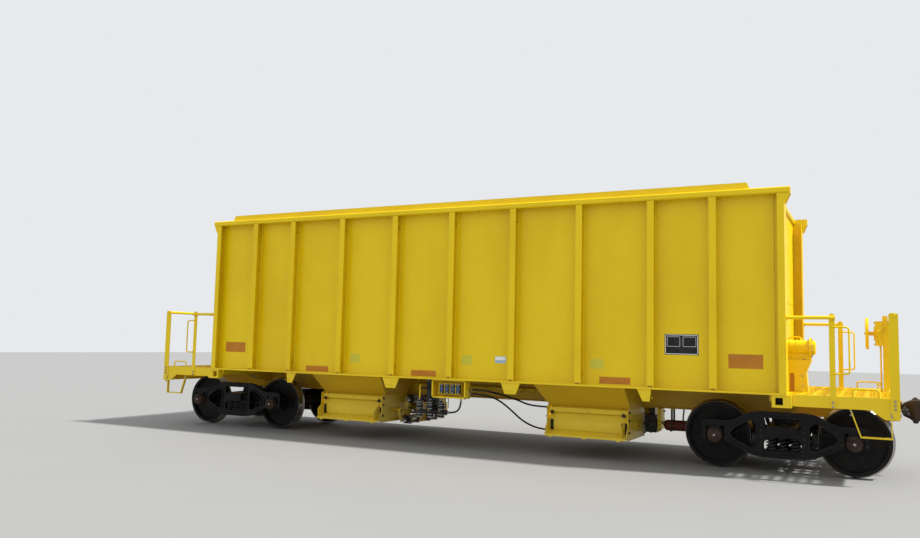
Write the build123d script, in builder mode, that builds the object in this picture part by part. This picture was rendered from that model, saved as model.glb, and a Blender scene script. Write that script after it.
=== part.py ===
from build123d import *
import math
import os

# Side and centre dumping ballast hopper wagon, in millimetres.
# X runs along the wagon towards its hand-brake end, Z up; z = 0 is the foot of the wheel flanges.

os.makedirs("parts", exist_ok=True)

# wheels and bogies
tread_radius = 457
flange_height = 26
wheel_inner_face = 678
wheel_width = 145
wheel_plate = 24
wheelbase = 1778
journal_y = 1003
axle_radius = 82
journal_radius = 68
cap_radius = 92
cap_end_y = 1130
hub_radius = 140
hub_depth = 80
rim_depth = 55
side_frame_width = 90
frame_rim = 22
frame_recess = 15
spring_radius = 62
spring_pitch = 150
running_clearance = 0.3
weld_lap = 1


def above_rail(height):
    return flange_height + height


# body shell
body_half = 4984
corner_depth = 142
end_sheet_x = body_half - corner_depth
side_sheet_y = 1480
sheet = 8
post_face_y = 1612
post_width = 100
post_foot_width = 90
post_plate = 10
post_pitch = 1067
end_bay = 856
widest_y = 1626
sill_plate = 12
sill_bottom = above_rail(1075)
sill_ledge = above_rail(1102)
chord_bottom = above_rail(3755)
chord_top = above_rail(3843)
chord_overhang = 76
end_chord_proud = 36
chord_rounding = 24
strip_top = above_rail(3940)
strip_width = 60
strip_set_in = 76
strip_start = 187
strip_stop = 297
strip_taper = 40
post_places = [0]
for step in (1, 2, 3):
    post_places += [-step * post_pitch, step * post_pitch]
post_places += [-3 * post_pitch - end_bay, 3 * post_pitch + end_bay]

# hopper floor and pockets
pocket_centre = 2 * post_pitch
pocket_low_x = pocket_centre - 764
pocket_high_x = pocket_centre + 646
throat_low_x = pocket_centre - 625
throat_high_x = pocket_centre + 625
funnel_z = above_rail(1100)
throat_z = above_rail(730)
throat_outer_y = 1030
throat_inner_y = 330
hood_shoulder = 110
hood_rise = 460
slope_angle = 45
gate_middle_y = (throat_outer_y + throat_inner_y) / 2

# discharge boxes, gates and their cylinders
box_plate = 10
box_bottom = above_rail(282)
box_reach = 490
shaft_z = above_rail(470)
shaft_offset = 60
shaft_radius = 25
shaft_clearance = 1
leaf_radius = 400
leaf_plate = 8
leaf_low_deg = -13
leaf_high_deg = 9
leaf_gap = 8
arm_plate = 10
arm_gap = 6
saddle_top = above_rail(610)
saddle_foot = above_rail(375)
lever_plane_gap = 110
lever_plate = 24
lever_reach = 188
lever_lean_deg = 28
lever_bow = 62
lever_width = 58
lever_hub_radius = 48
eye_radius = 13
fork_depth = 90
fork_half_height = 24
fork_back = 18
cylinder_radius = 62
cylinder_barrel = 230
head_size = 142
head_length = 42
rod_radius = 18
rod_show = 46
rod_inside = 130

# centre sill and ends
sill_half_y = 160
sill_flange = 50
centre_sill_bottom = above_rail(720)
centre_sill_top = above_rail(1045)
centre_sill_plate = 16
bogie_set_in = 112
bogie_centre = body_half - bogie_set_in
platform_out = 1306
platform_end = body_half + platform_out
platform_top = sill_ledge - sill_plate
platform_side_y = 1500
channel_depth = 155
channel_flange = 60
channel_plate = 10
end_sill_drop = 110
rail_top = above_rail(2117)
rail_radius = 24
rail_plate = 12
mid_post_x = body_half + 546
mid_post_half = 35
outer_post_half = 55
coupler_z = above_rail(876)
coupler_face_x = platform_end + 330
shank_half_y = 64
hose_radius = 14


def sketch_run(plane, points, amount, mode):
    with BuildSketch(plane) as outline:
        with BuildLine():
            Polyline(*points, close=True)
        make_face()
    extrude(outline.sketch, amount=amount, mode=mode)


def run_x(points, x_low, x_high, mode=Mode.ADD):
    # an outline in the YZ plane, carried along X
    sketch_run(Plane.YZ.offset(x_low), points, x_high - x_low, mode)


def run_y(points, y_low, y_high, mode=Mode.ADD):
    # an outline in the XZ plane, carried along Y
    sketch_run(Plane.XZ.offset(-y_low), points, y_low - y_high, mode)


def run_z(points, z_low, z_high, mode=Mode.ADD):
    # an outline in the XY plane, carried up Z
    sketch_run(Plane.XY.offset(z_low), points, z_high - z_low, mode)


def block(x_pair, y_pair, z_pair, mode=Mode.ADD):
    x_low, x_high = sorted(x_pair)
    y_low, y_high = sorted(y_pair)
    run_z([(x_low, y_low), (x_high, y_low), (x_high, y_high), (x_low, y_high)], z_pair[0], z_pair[1], mode)


def round_bar(plane, centre, radius, amount, mode):
    with BuildSketch(plane) as outline:
        with Locations(centre):
            Circle(radius)
    extrude(outline.sketch, amount=amount, mode=mode)


def round_x(y, z, radius, x_pair, mode=Mode.ADD):
    x_low, x_high = sorted(x_pair)
    round_bar(Plane.YZ.offset(x_low), (y, z), radius, x_high - x_low, mode)


def round_y(x, z, radius, y_pair, mode=Mode.ADD):
    y_low, y_high = sorted(y_pair)
    round_bar(Plane.XZ.offset(-y_low), (x, z), radius, y_low - y_high, mode)


def round_z(x, y, radius, z_pair, mode=Mode.ADD):
    round_bar(Plane.XY.offset(z_pair[0]), (x, y), radius, z_pair[1] - z_pair[0], mode)


def save(builder, name):
    builder.part.label = name
    export_step(builder.part, f"parts/{name}.step")


ends = (-1, 1)
sides = (-1, 1)

# Side sheets, standing on the sill ledges
with BuildPart() as side_sheets:
    for side in sides:
        block(
            (-end_sheet_x, end_sheet_x),
            (side * (side_sheet_y - sheet), side * side_sheet_y),
            (sill_ledge, chord_bottom),
        )
save(side_sheets, "side_sheets")

# Side posts: I-section beams standing on the sheets
with BuildPart() as side_posts:
    for side in sides:
        for x in post_places:
            half = [(post_foot_width / 2, side_sheet_y), (post_foot_width / 2, side_sheet_y + post_plate)]
            half += [(post_plate / 2, side_sheet_y + post_plate), (post_plate / 2, post_face_y - post_plate)]
            half += [(post_width / 2, post_face_y - post_plate), (post_width / 2, post_face_y)]
            outline = [(x + across, side * y) for across, y in half]
            outline += [(x - across, side * y) for across, y in reversed(half)]
            run_z(outline, sill_ledge, chord_bottom)
save(side_posts, "side_posts")

# Corner posts: an angle round each corner, closed back to the sheets, with gussets under the chord's end
corner_leg = 90
corner_return = 130
chord_end = body_half + chord_overhang
chord_inside_y = side_sheet_y - sheet
chord_gusset_drop = 130
chord_gusset_toe = 20
with BuildPart() as corner_posts:
    for side in sides:
        for end in ends:
            inside_x = body_half - sill_plate
            inside_y = post_face_y - post_plate
            outline = [
                (end_sheet_x, side_sheet_y - sheet),
                (inside_x, side_sheet_y - sheet),
                (inside_x, inside_y),
                (body_half - corner_leg, inside_y),
                (body_half - corner_leg, post_face_y),
                (body_half, post_face_y),
                (body_half, side_sheet_y - corner_return),
                (inside_x, side_sheet_y - corner_return),
                (inside_x, side_sheet_y - 2 * sheet),
                (end_sheet_x, side_sheet_y - 2 * sheet),
            ]
            run_z([(end * x, side * y) for x, y in outline], sill_ledge, chord_bottom)
            outline = [
                (body_half, chord_bottom),
                (chord_end, chord_bottom),
                (body_half + chord_gusset_toe, chord_bottom - chord_gusset_drop),
                (body_half, chord_bottom - chord_gusset_drop),
            ]
            for face_y in (post_face_y, chord_inside_y + post_plate):
                gusset_pair = sorted((side * face_y, side * (face_y - post_plate)))
                run_y([(end * x, z) for x, z in outline], *gusset_pair)
save(corner_posts, "corner_posts")

# Top chord: round-edged tubes along both sides, with raised strips, and narrow ones set back across the ends
with BuildPart() as side_chords:
    for side in sides:
        with BuildSketch(Plane.YZ.offset(-chord_end)) as outline:
            with BuildLine():
                Polyline(
                    (side * chord_inside_y, chord_bottom),
                    (side * widest_y, chord_bottom),
                    (side * widest_y, chord_top),
                    (side * chord_inside_y, chord_top),
                    close=True,
                )
            make_face()
            fillet(outline.vertices().sort_by(Axis.X)[:: side][-2:], chord_rounding)
        extrude(outline.sketch, amount=2 * chord_end)
        strip_y = side * (widest_y - strip_set_in)
        strip = [
            (-end_sheet_x + strip_start, chord_top),
            (-end_sheet_x + strip_start + strip_taper, strip_top),
            (end_sheet_x - strip_stop - strip_taper, strip_top),
            (end_sheet_x - strip_stop, chord_top),
        ]
        run_y(strip, *sorted((strip_y, strip_y - side * strip_width)))
save(side_chords, "side_chords")

end_chord_x = end_sheet_x + end_chord_proud
with BuildPart() as end_chords:
    for end in ends:
        with BuildSketch(Plane.XZ.offset(-chord_inside_y)) as outline:
            with BuildLine():
                Polyline(
                    (end * (end_sheet_x - sheet), chord_bottom),
                    (end * end_chord_x, chord_bottom),
                    (end * end_chord_x, chord_top),
                    (end * (end_sheet_x - sheet), chord_top),
                    close=True,
                )
            make_face()
            fillet(outline.vertices().sort_by(Axis.X)[:: end][-2:], chord_rounding)
        extrude(outline.sketch, amount=2 * chord_inside_y)
save(end_chords, "end_chords")

# Side sills: ledge with a lip turned down, and tapered lugs below
# columns: post pitches from the middle, then the four corners' distances from that post along X
lugs = [
    (-3, -14, 193, 108, 8),
    (-1, -165, 165, 90, -90),
    (1, -165, 165, 90, -90),
    (3, -193, 14, -8, -108),
]
lug_foot = above_rail(905)
lug_plate = 20
with BuildPart() as side_sills:
    for side in sides:
        lip = widest_y - sill_plate
        outline = [
            (side_sheet_y - sheet, sill_ledge),
            (widest_y, sill_ledge),
            (widest_y, sill_bottom),
            (lip, sill_bottom),
            (lip, sill_ledge - sill_plate),
            (side_sheet_y - sheet, sill_ledge - sill_plate),
        ]
        run_x([(side * y, z) for y, z in outline], -body_half, body_half)
        for pitches, top_low, top_high, foot_high, foot_low in lugs:
            x = pitches * post_pitch
            outline = [
                (x + top_low, sill_ledge - sill_plate),
                (x + top_high, sill_ledge - sill_plate),
                (x + foot_high, lug_foot),
                (x + foot_low, lug_foot),
            ]
            run_y(outline, *sorted((side * lip, side * (lip - lug_plate))))
save(side_sills, "side_sills")

# End sheets, with the house-shaped gusset at the foot
gusset_half = 90
gusset_shoulder = 260
gusset_peak = 360
gusset_depth = 40
with BuildPart() as end_sheets:
    for end in ends:
        block(
            (end * (end_sheet_x - sheet), end * end_sheet_x),
            (-side_sheet_y + sheet, side_sheet_y - sheet),
            (platform_top, chord_bottom),
        )
        outline = [
            (-gusset_half, platform_top),
            (-gusset_half, platform_top + gusset_shoulder),
            (0, platform_top + gusset_peak),
            (gusset_half, platform_top + gusset_shoulder),
            (gusset_half, platform_top),
        ]
        run_x(outline, *sorted((end * end_sheet_x, end * (end_sheet_x + gusset_depth))))
save(end_sheets, "end_sheets")

# Slope sheets: one at each end, and the ridge over the middle on its cross webs
slope = math.tan(math.radians(slope_angle))
slope_run = end_sheet_x - sheet - pocket_high_x
slope_rise = slope_run * slope
ridge_rise = pocket_low_x * slope
plumb = sheet / math.cos(math.radians(slope_angle))
funnel_outer_y = side_sheet_y - sheet
web_x = 640
with BuildPart() as slope_sheets:
    for end in ends:
        outline = [
            (end * pocket_high_x, funnel_z),
            (end * (pocket_high_x + slope_run), funnel_z + slope_rise),
            (end * (pocket_high_x + slope_run), funnel_z + slope_rise - plumb),
            (end * (pocket_high_x + plumb), funnel_z),
        ]
        run_y(outline, -funnel_outer_y, funnel_outer_y)
        web_top = funnel_z + (pocket_low_x - web_x) * slope - plumb / 2
        block(
            (end * web_x, end * (web_x - sheet)),
            (-funnel_outer_y, funnel_outer_y),
            (centre_sill_top, web_top),
        )
    outline = [
        (-pocket_low_x, funnel_z),
        (0, funnel_z + ridge_rise),
        (pocket_low_x, funnel_z),
        (pocket_low_x - plumb, funnel_z),
        (0, funnel_z + ridge_rise - plumb),
        (-pocket_low_x + plumb, funnel_z),
    ]
    run_y(outline, -funnel_outer_y, funnel_outer_y)
save(slope_sheets, "slope_sheets")

# Pockets: slopes down from the sides, sloping end walls, and a hood over the centre sill
hood_top = throat_z + hood_shoulder + hood_rise
seat = 1.3 * sheet
wall_inset = 1.1 * sheet
hood_outside = [
    (-throat_inner_y, throat_z),
    (-throat_inner_y, throat_z + hood_shoulder),
    (0, hood_top),
    (throat_inner_y, throat_z + hood_shoulder),
    (throat_inner_y, throat_z),
]
hood_inside = [
    (-throat_inner_y + sheet, throat_z),
    (-throat_inner_y + sheet, throat_z + hood_shoulder - sheet / 2),
    (0, hood_top - 2 * sheet),
    (throat_inner_y - sheet, throat_z + hood_shoulder - sheet / 2),
    (throat_inner_y - sheet, throat_z),
]


def pocket_space(end):
    # what the two sloping end walls enclose, seen from the side
    return [
        (end * throat_low_x, throat_z),
        (end * pocket_low_x, funnel_z),
        (end * (pocket_low_x - hood_rise), funnel_z + hood_rise),
        (end * (pocket_high_x + hood_rise), funnel_z + hood_rise),
        (end * pocket_high_x, funnel_z),
        (end * throat_high_x, throat_z),
    ]


pocket_side_slopes = Part()
pocket_hoods = Part()
pocket_end_walls = Part()
for end in ends:
    pocket_low, pocket_high = sorted((end * pocket_low_x, end * pocket_high_x))
    with BuildPart() as slopes:
        for side in sides:
            outline = [
                (side * funnel_outer_y, funnel_z),
                (side * throat_outer_y, throat_z + sheet),
                (side * throat_outer_y, throat_z),
                (side * (throat_outer_y + sheet), throat_z),
                (side * funnel_outer_y, funnel_z - seat),
            ]
            run_x(outline, pocket_low, pocket_high)
        run_y(pocket_space(end), -funnel_outer_y, funnel_outer_y, Mode.INTERSECT)
    pocket_side_slopes += slopes.part
    with BuildPart() as hood:
        run_x(hood_outside, pocket_low - hood_rise, pocket_high + hood_rise)
        run_x(hood_inside, pocket_low - hood_rise, pocket_high + hood_rise, Mode.SUBTRACT)
        run_y(pocket_space(end), -funnel_outer_y, funnel_outer_y, Mode.INTERSECT)
    pocket_hoods += hood.part
    with BuildPart() as walls:
        for foot, head, wall in (
            (throat_low_x, pocket_low_x, -wall_inset),
            (throat_high_x, pocket_high_x, wall_inset),
        ):
            outline = [(foot, throat_z), (head, funnel_z), (head + wall, funnel_z), (foot + wall, throat_z)]
            run_y([(end * x, z) for x, z in outline], -funnel_outer_y, funnel_outer_y)
        outline = [
            (-funnel_outer_y, funnel_z),
            (-funnel_outer_y, funnel_z - seat),
            (-throat_outer_y - sheet, throat_z),
            (throat_outer_y + sheet, throat_z),
            (funnel_outer_y, funnel_z - seat),
            (funnel_outer_y, funnel_z),
        ]
        run_x(outline, pocket_low - plumb, pocket_high + plumb, Mode.INTERSECT)
        run_x(hood_inside, pocket_low - plumb, pocket_high + plumb, Mode.SUBTRACT)
    pocket_end_walls += walls.part
for piece, name in (
    (pocket_side_slopes, "pocket_side_slopes"),
    (pocket_hoods, "pocket_hoods"),
    (pocket_end_walls, "pocket_end_walls"),
):
    piece.label = name
    export_step(piece, f"parts/{name}.step")

# Centre sill: a hat channel open at the foot, with the brackets that carry the gate cylinders' tails
tip_drop = lever_reach * math.cos(math.radians(lever_lean_deg))
tip_back = lever_reach * math.sin(math.radians(lever_lean_deg))
slot_play = (lever_reach - tip_drop) / 2
lever_x = throat_low_x - box_plate - lever_plane_gap
face_set_back = tip_back + fork_depth + fork_back + rod_show
cylinder_length = 2 * head_length + cylinder_barrel
tail_outer_y = gate_middle_y + shaft_offset - face_set_back - cylinder_length
tail_inner_y = gate_middle_y - shaft_offset - face_set_back - cylinder_length
cylinder_high_z = shaft_z + tip_drop + slot_play
cylinder_low_z = shaft_z - tip_drop - slot_play
bracket_half = 12
diaphragm_height = 40
striker_depth = 60
striker_set_in = 40
striker_room = 36
shank_half_z = 70
yoke_half_z = 110
bracket_lap = 10
bracket_step = 60
with BuildPart() as centre_sill:
    striker_x = platform_end - striker_set_in
    half = [
        (sill_half_y, centre_sill_top),
        (sill_half_y, centre_sill_bottom + centre_sill_plate),
        (sill_half_y + sill_flange, centre_sill_bottom + centre_sill_plate),
        (sill_half_y + sill_flange, centre_sill_bottom),
        (sill_half_y - centre_sill_plate, centre_sill_bottom),
        (sill_half_y - centre_sill_plate, centre_sill_top - centre_sill_plate),
    ]
    outline = half + [(-y, z) for y, z in reversed(half)]
    run_x(outline, -striker_x, striker_x)
    for end in ends:
        foot = cylinder_low_z - head_size / 2
        step_z = cylinder_high_z - head_size / 2 - bracket_lap
        half = [
            (tail_inner_y, centre_sill_bottom),
            (tail_inner_y, step_z),
            (tail_outer_y, step_z - bracket_step),
            (tail_outer_y, foot),
        ]
        outline = half + [(-y, z) for y, z in reversed(half)]
        low, high = sorted((end * (lever_x - bracket_half), end * (lever_x + bracket_half)))
        run_x(outline, low, high)
        diaphragm = (centre_sill_bottom - weld_lap, centre_sill_bottom + diaphragm_height)
        block((low, high), (-sill_half_y, sill_half_y), diaphragm)
        # striker casting round the coupler's shank
        striker = (end * striker_x, end * (striker_x + striker_depth))
        block(striker, (-sill_half_y, sill_half_y), (centre_sill_bottom, centre_sill_top))
        block(
            striker,
            (-shank_half_y - striker_room, shank_half_y + striker_room),
            (coupler_z - yoke_half_z, coupler_z + yoke_half_z),
            Mode.SUBTRACT,
        )
save(centre_sill, "centre_sill")

# Body bolsters: tapered cross beams over the sill, centre plates below, jacking blocks at the tips
centre_plate_z = above_rail(654)
centre_plate_radius = 178
bolster_half = 110
bolster_cover = 16
jack_reach = 110
jack_half = 120
jack_foot = above_rail(914)
jack_hole_half = 48
jack_hole_z = above_rail(994)
jack_wall = 20
jack_out = 64
jack_hole_out = 30
# columns: distance from the middle, height of the bolster's underside there
bolster_foot = [(platform_side_y, above_rail(985)), (700, above_rail(960)), (sill_half_y, above_rail(820))]
with BuildPart() as body_bolsters:
    for end in ends:
        x_low, x_high = end * bogie_centre - bolster_half, end * bogie_centre + bolster_half
        for side in sides:
            outline = [
                (0, platform_top),
                (widest_y - sill_plate, platform_top),
                (widest_y - sill_plate, platform_top - bolster_cover),
                (platform_side_y, platform_top - bolster_cover),
                *bolster_foot,
                (sill_half_y, centre_sill_top),
                (0, centre_sill_top),
            ]
            run_x([(side * y, z) for y, z in outline], x_low, x_high)
            jack_x = end * (body_half - jack_out)
            block(
                (jack_x - jack_half, jack_x + jack_half),
                (side * platform_side_y, side * (platform_side_y + jack_reach)),
                (jack_foot, platform_top - bolster_cover),
            )
            hole_x = jack_x - end * jack_hole_out
            block(
                (hole_x - jack_hole_half, hole_x + jack_hole_half),
                (side * (platform_side_y + jack_wall), side * (platform_side_y + jack_reach)),
                (jack_hole_z - jack_hole_half, jack_hole_z + jack_hole_half),
                Mode.SUBTRACT,
            )
        round_z(end * bogie_centre, 0, centre_plate_radius, (centre_plate_z, centre_sill_bottom))
save(body_bolsters, "body_bolsters")

# Discharge boxes: end plates, skirts, ledge bars, and the saddle over the gate shafts
half_throat = (throat_outer_y - throat_inner_y) / 2
arm_slot = arm_plate + 2 * arm_gap
arm_slot_start = 105
saddle_y = shaft_offset + leaf_radius - leaf_gap
saddle_plate = 1.2 * sheet
skirt_radius = leaf_radius - leaf_gap
skirt_foot_y = shaft_offset + skirt_radius * math.cos(math.radians(leaf_high_deg))
skirt_foot_z = shaft_z + skirt_radius * math.sin(math.radians(leaf_high_deg))
ledge_foot = above_rail(650)
ledge_top = above_rail(703)
ledge_y = 438
ledge_plate = 12
ledge_flange = 48
cheek_reach = 650
lip_foot = above_rail(315)
plate_shoulder = above_rail(750)
wing_reach = 560
wing_top = above_rail(414)
wing_foot = above_rail(304)
plate_brow = 45
brow_set_in = 20
brow_drop = 36
toe_rise = 60
slot_overrun = 20


def box_y(side, offset):
    # a place measured from the middle of a pocket, outboard positive
    return side * (gate_middle_y + offset)


def box_outline(side, outline):
    return [(box_y(side, offset), z) for offset, z in outline]


with BuildPart() as discharge_boxes:
    for end in ends:
        for side in sides:
            inside_low, inside_high = sorted((end * throat_low_x, end * throat_high_x))
            end_plate = [
                (-half_throat - sheet, throat_z),
                (half_throat + sheet, throat_z),
                (half_throat + plate_brow, plate_shoulder),
                (ledge_y + brow_set_in, plate_shoulder),
                (box_reach, plate_shoulder - brow_drop),
                (box_reach, shaft_z),
                (wing_reach, wing_top),
                (wing_reach, wing_foot),
                (box_reach, box_bottom),
                (-box_reach, box_bottom),
                (-box_reach, throat_z - toe_rise),
            ]
            for x in (inside_low - box_plate, inside_high):
                run_x(box_outline(side, end_plate), x, x + box_plate)
            saddle = [
                (0, saddle_top),
                (saddle_y, saddle_foot),
                (saddle_y, saddle_foot - saddle_plate),
                (0, saddle_top - saddle_plate),
                (-saddle_y, saddle_foot - saddle_plate),
                (-saddle_y, saddle_foot),
            ]
            run_x(box_outline(side, saddle), inside_low, inside_high)
            for out in (-1, 1):
                skirt = [
                    (out * (half_throat + sheet), throat_z),
                    (out * skirt_foot_y, skirt_foot_z),
                    (out * (skirt_foot_y - sheet), skirt_foot_z),
                    (out * half_throat, throat_z),
                ]
                run_x(box_outline(side, skirt), inside_low, inside_high)
                # slots beside the end plates let the gate arms swing
                for x in (inside_low, inside_high - arm_slot):
                    block(
                        (x, x + arm_slot),
                        (box_y(side, out * arm_slot_start), box_y(side, out * (saddle_y + slot_overrun))),
                        (box_bottom, throat_z - sheet),
                        Mode.SUBTRACT,
                    )
                round_x(
                    box_y(side, out * shaft_offset), shaft_z, shaft_radius + shaft_clearance,
                    (inside_low - 2 * box_plate, inside_high + 2 * box_plate), Mode.SUBTRACT,
                )
            ledge = [
                (ledge_y, ledge_foot),
                (ledge_y, ledge_top),
                (ledge_y + ledge_plate - ledge_flange, ledge_top),
                (ledge_y + ledge_plate - ledge_flange, ledge_top + ledge_plate),
                (ledge_y + ledge_plate, ledge_top + ledge_plate),
                (ledge_y + ledge_plate, ledge_foot),
            ]
            run_x(box_outline(side, ledge), inside_low, inside_high)
save(discharge_boxes, "discharge_boxes")

# Chutes: a lip beyond each gate, with pentagonal cheeks on the outboard side
lip_start = shaft_offset + leaf_radius + leaf_plate + leaf_gap
cheek_inset = 40
cheek_toe = 35
cheek_top = above_rail(585)
cheek_brow = above_rail(470)
cheek_chin = above_rail(362)
lip_bar = 22
inner_lip_reach = box_reach + 20
inner_lip_drop = 30
with BuildPart() as discharge_chutes:
    for end in ends:
        for side in sides:
            inside_low, inside_high = sorted((end * throat_low_x, end * throat_high_x))
            lip = [
                (lip_start, saddle_foot),
                (cheek_reach - cheek_toe, lip_foot + sheet),
                (cheek_reach - cheek_toe, lip_foot - lip_bar),
                (cheek_reach - cheek_toe - lip_bar, lip_foot - lip_bar),
                (cheek_reach - cheek_toe - lip_bar, lip_foot),
                (lip_start, saddle_foot - sheet),
            ]
            run_x(box_outline(side, lip), inside_low, inside_high)
            cheek = [
                (lip_start, cheek_top),
                (cheek_reach, cheek_brow),
                (cheek_reach, cheek_chin),
                (cheek_reach - cheek_toe, lip_foot),
                (lip_start, saddle_foot - sheet),
            ]
            for x in (inside_low + cheek_inset, inside_high - cheek_inset - sheet):
                run_x(box_outline(side, cheek), x, x + sheet)
            inner_lip = [
                (-lip_start, saddle_foot),
                (-inner_lip_reach, saddle_foot - inner_lip_drop),
                (-inner_lip_reach, saddle_foot - inner_lip_drop - sheet),
                (-lip_start, saddle_foot - sheet),
            ]
            run_x(box_outline(side, inner_lip), inside_low, inside_high)
save(discharge_chutes, "discharge_chutes")

# Gates: a radial leaf on two arms, its shaft, and the curved lever outside the box
# columns: pocket, its end, its side; then each gate's kind and the way it faces
pockets = [("a", -1, -1), ("b", 1, -1), ("c", 1, 1), ("d", -1, 1)]
hinges = [("inner", -1), ("outer", 1)]
shaft_past_lever = 26
shaft_past_plate = 14
pin_past_lever = 16
cheek_gap = 9
cheek_half = 6
fork_past_tip = 28


def arc_point(side, out, radius, degrees):
    turn = math.radians(degrees)
    return (
        box_y(side, out * (shaft_offset + radius * math.cos(turn))),
        shaft_z + radius * math.sin(turn),
    )


slot_half_y = eye_radius + 2
slot_half_z = slot_play + eye_radius + 3
for pocket, end, side in pockets:
    for kind, out in hinges:
        inside_low, inside_high = sorted((end * throat_low_x, end * throat_high_x))
        hub_y = box_y(side, out * shaft_offset)
        # the outer gate's lever hangs, the inner gate's stands; both lean inboard
        up = -out
        tip = (hub_y - side * tip_back, shaft_z + up * tip_drop)
        middle = ((hub_y + tip[0]) / 2 + side * out * lever_bow, (shaft_z + tip[1]) / 2 - up * lever_bow / 3)
        lever_low, lever_high = sorted((end * (lever_x - lever_plate / 2), end * (lever_x + lever_plate / 2)))
        shaft_far = throat_high_x + box_plate + shaft_past_plate
        shaft_ends = (end * (lever_x - shaft_past_lever), end * shaft_far)
        with BuildPart() as gate:
            with BuildSketch(Plane.YZ.offset(inside_low + arm_gap)) as leaf:
                with BuildLine():
                    middle_deg = (leaf_low_deg + leaf_high_deg) / 2
                    outer_radius = leaf_radius + leaf_plate
                    ThreePointArc(
                        arc_point(side, out, leaf_radius, leaf_low_deg),
                        arc_point(side, out, leaf_radius, middle_deg),
                        arc_point(side, out, leaf_radius, leaf_high_deg),
                    )
                    Line(
                        arc_point(side, out, leaf_radius, leaf_high_deg),
                        arc_point(side, out, outer_radius, leaf_high_deg),
                    )
                    ThreePointArc(
                        arc_point(side, out, outer_radius, leaf_high_deg),
                        arc_point(side, out, outer_radius, middle_deg),
                        arc_point(side, out, outer_radius, leaf_low_deg),
                    )
                    Line(
                        arc_point(side, out, outer_radius, leaf_low_deg),
                        arc_point(side, out, leaf_radius, leaf_low_deg),
                    )
                make_face()
            extrude(leaf.sketch, amount=inside_high - inside_low - 2 * arm_gap)
            arm_reach = leaf_radius + weld_lap
            arm = [
                (hub_y, shaft_z + shaft_radius),
                arc_point(side, out, arm_reach, leaf_high_deg),
                arc_point(side, out, arm_reach, leaf_low_deg),
                (hub_y, shaft_z - shaft_radius),
            ]
            for x in (inside_low + arm_gap, inside_high - arm_gap - arm_plate):
                run_x(arm, x, x + arm_plate)
            round_x(hub_y, shaft_z, shaft_radius, shaft_ends)
            with BuildSketch(Plane.YZ.offset(lever_low)) as lever:
                with BuildLine(mode=Mode.PRIVATE) as bow:
                    ThreePointArc((hub_y, shaft_z), middle, tip)
                SlotArc(bow.edges()[0], lever_width)
                with Locations((hub_y, shaft_z)):
                    Circle(lever_hub_radius)
            extrude(lever.sketch, amount=lever_plate)
            round_x(tip[0], tip[1], eye_radius, (lever_low - pin_past_lever, lever_high + pin_past_lever))
        save(gate, f"gate_{pocket}_{kind}")

        # the rod that pushes this lever, with a slotted fork round its tip
        rod_z = shaft_z + up * (tip_drop + slot_play)
        fork_tip_y = tip[0] + side * fork_past_tip
        fork_back_y = tip[0] - side * fork_depth
        with BuildPart() as rod:
            for cheek_side in (-1, 1):
                fork_x = end * lever_x + cheek_side * (lever_plate / 2 + cheek_gap)
                cheek_pair = (fork_x - cheek_half, fork_x + cheek_half)
                block(
                    cheek_pair,
                    (fork_tip_y, fork_back_y),
                    (rod_z - fork_half_height, rod_z + fork_half_height),
                )
                round_x(tip[0], rod_z, slot_play + 2 * eye_radius, cheek_pair)
                block(
                    cheek_pair,
                    (tip[0] - slot_half_y, tip[0] + slot_half_y),
                    (rod_z - slot_half_z, rod_z + slot_half_z),
                    Mode.SUBTRACT,
                )
            fork_half_x = lever_plate / 2 + cheek_gap + cheek_half
            block(
                (end * lever_x - fork_half_x, end * lever_x + fork_half_x),
                (fork_back_y, fork_back_y - side * fork_back),
                (rod_z - fork_half_height, rod_z + fork_half_height),
            )
            rod_start = fork_back_y - side * fork_back
            round_y(end * lever_x, rod_z, rod_radius, (rod_start, rod_start - side * (rod_show + rod_inside)))
        save(rod, f"rod_{pocket}_{kind}")

# Gate cylinders: square heads with a barrel between, bored for their rods
port_radius = 20
port_reach = 30
bore_depth = rod_inside + 20
with BuildPart() as gate_cylinders:
    for pocket, end, side in pockets:
        for kind, out in hinges:
            face_y = box_y(side, out * shaft_offset) - side * face_set_back
            axis_z = cylinder_low_z if out > 0 else cylinder_high_z
            x = end * lever_x
            half = head_size / 2
            for start in (0, head_length + cylinder_barrel):
                block(
                    (x - half, x + half),
                    (face_y - side * start, face_y - side * (start + head_length)),
                    (axis_z - half, axis_z + half),
                )
            barrel = (face_y - side * head_length, face_y - side * (head_length + cylinder_barrel))
            round_y(x, axis_z, cylinder_radius, barrel)
            # a hose port on the head that faces the middle of the wagon
            port = (x - end * half, x - end * (half + port_reach))
            round_x(face_y - side * head_length / 2, axis_z, port_radius, port)
            bore = (face_y, face_y - side * bore_depth)
            round_y(x, axis_z, rod_radius + running_clearance, bore, Mode.SUBTRACT)
save(gate_cylinders, "gate_cylinders")

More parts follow.
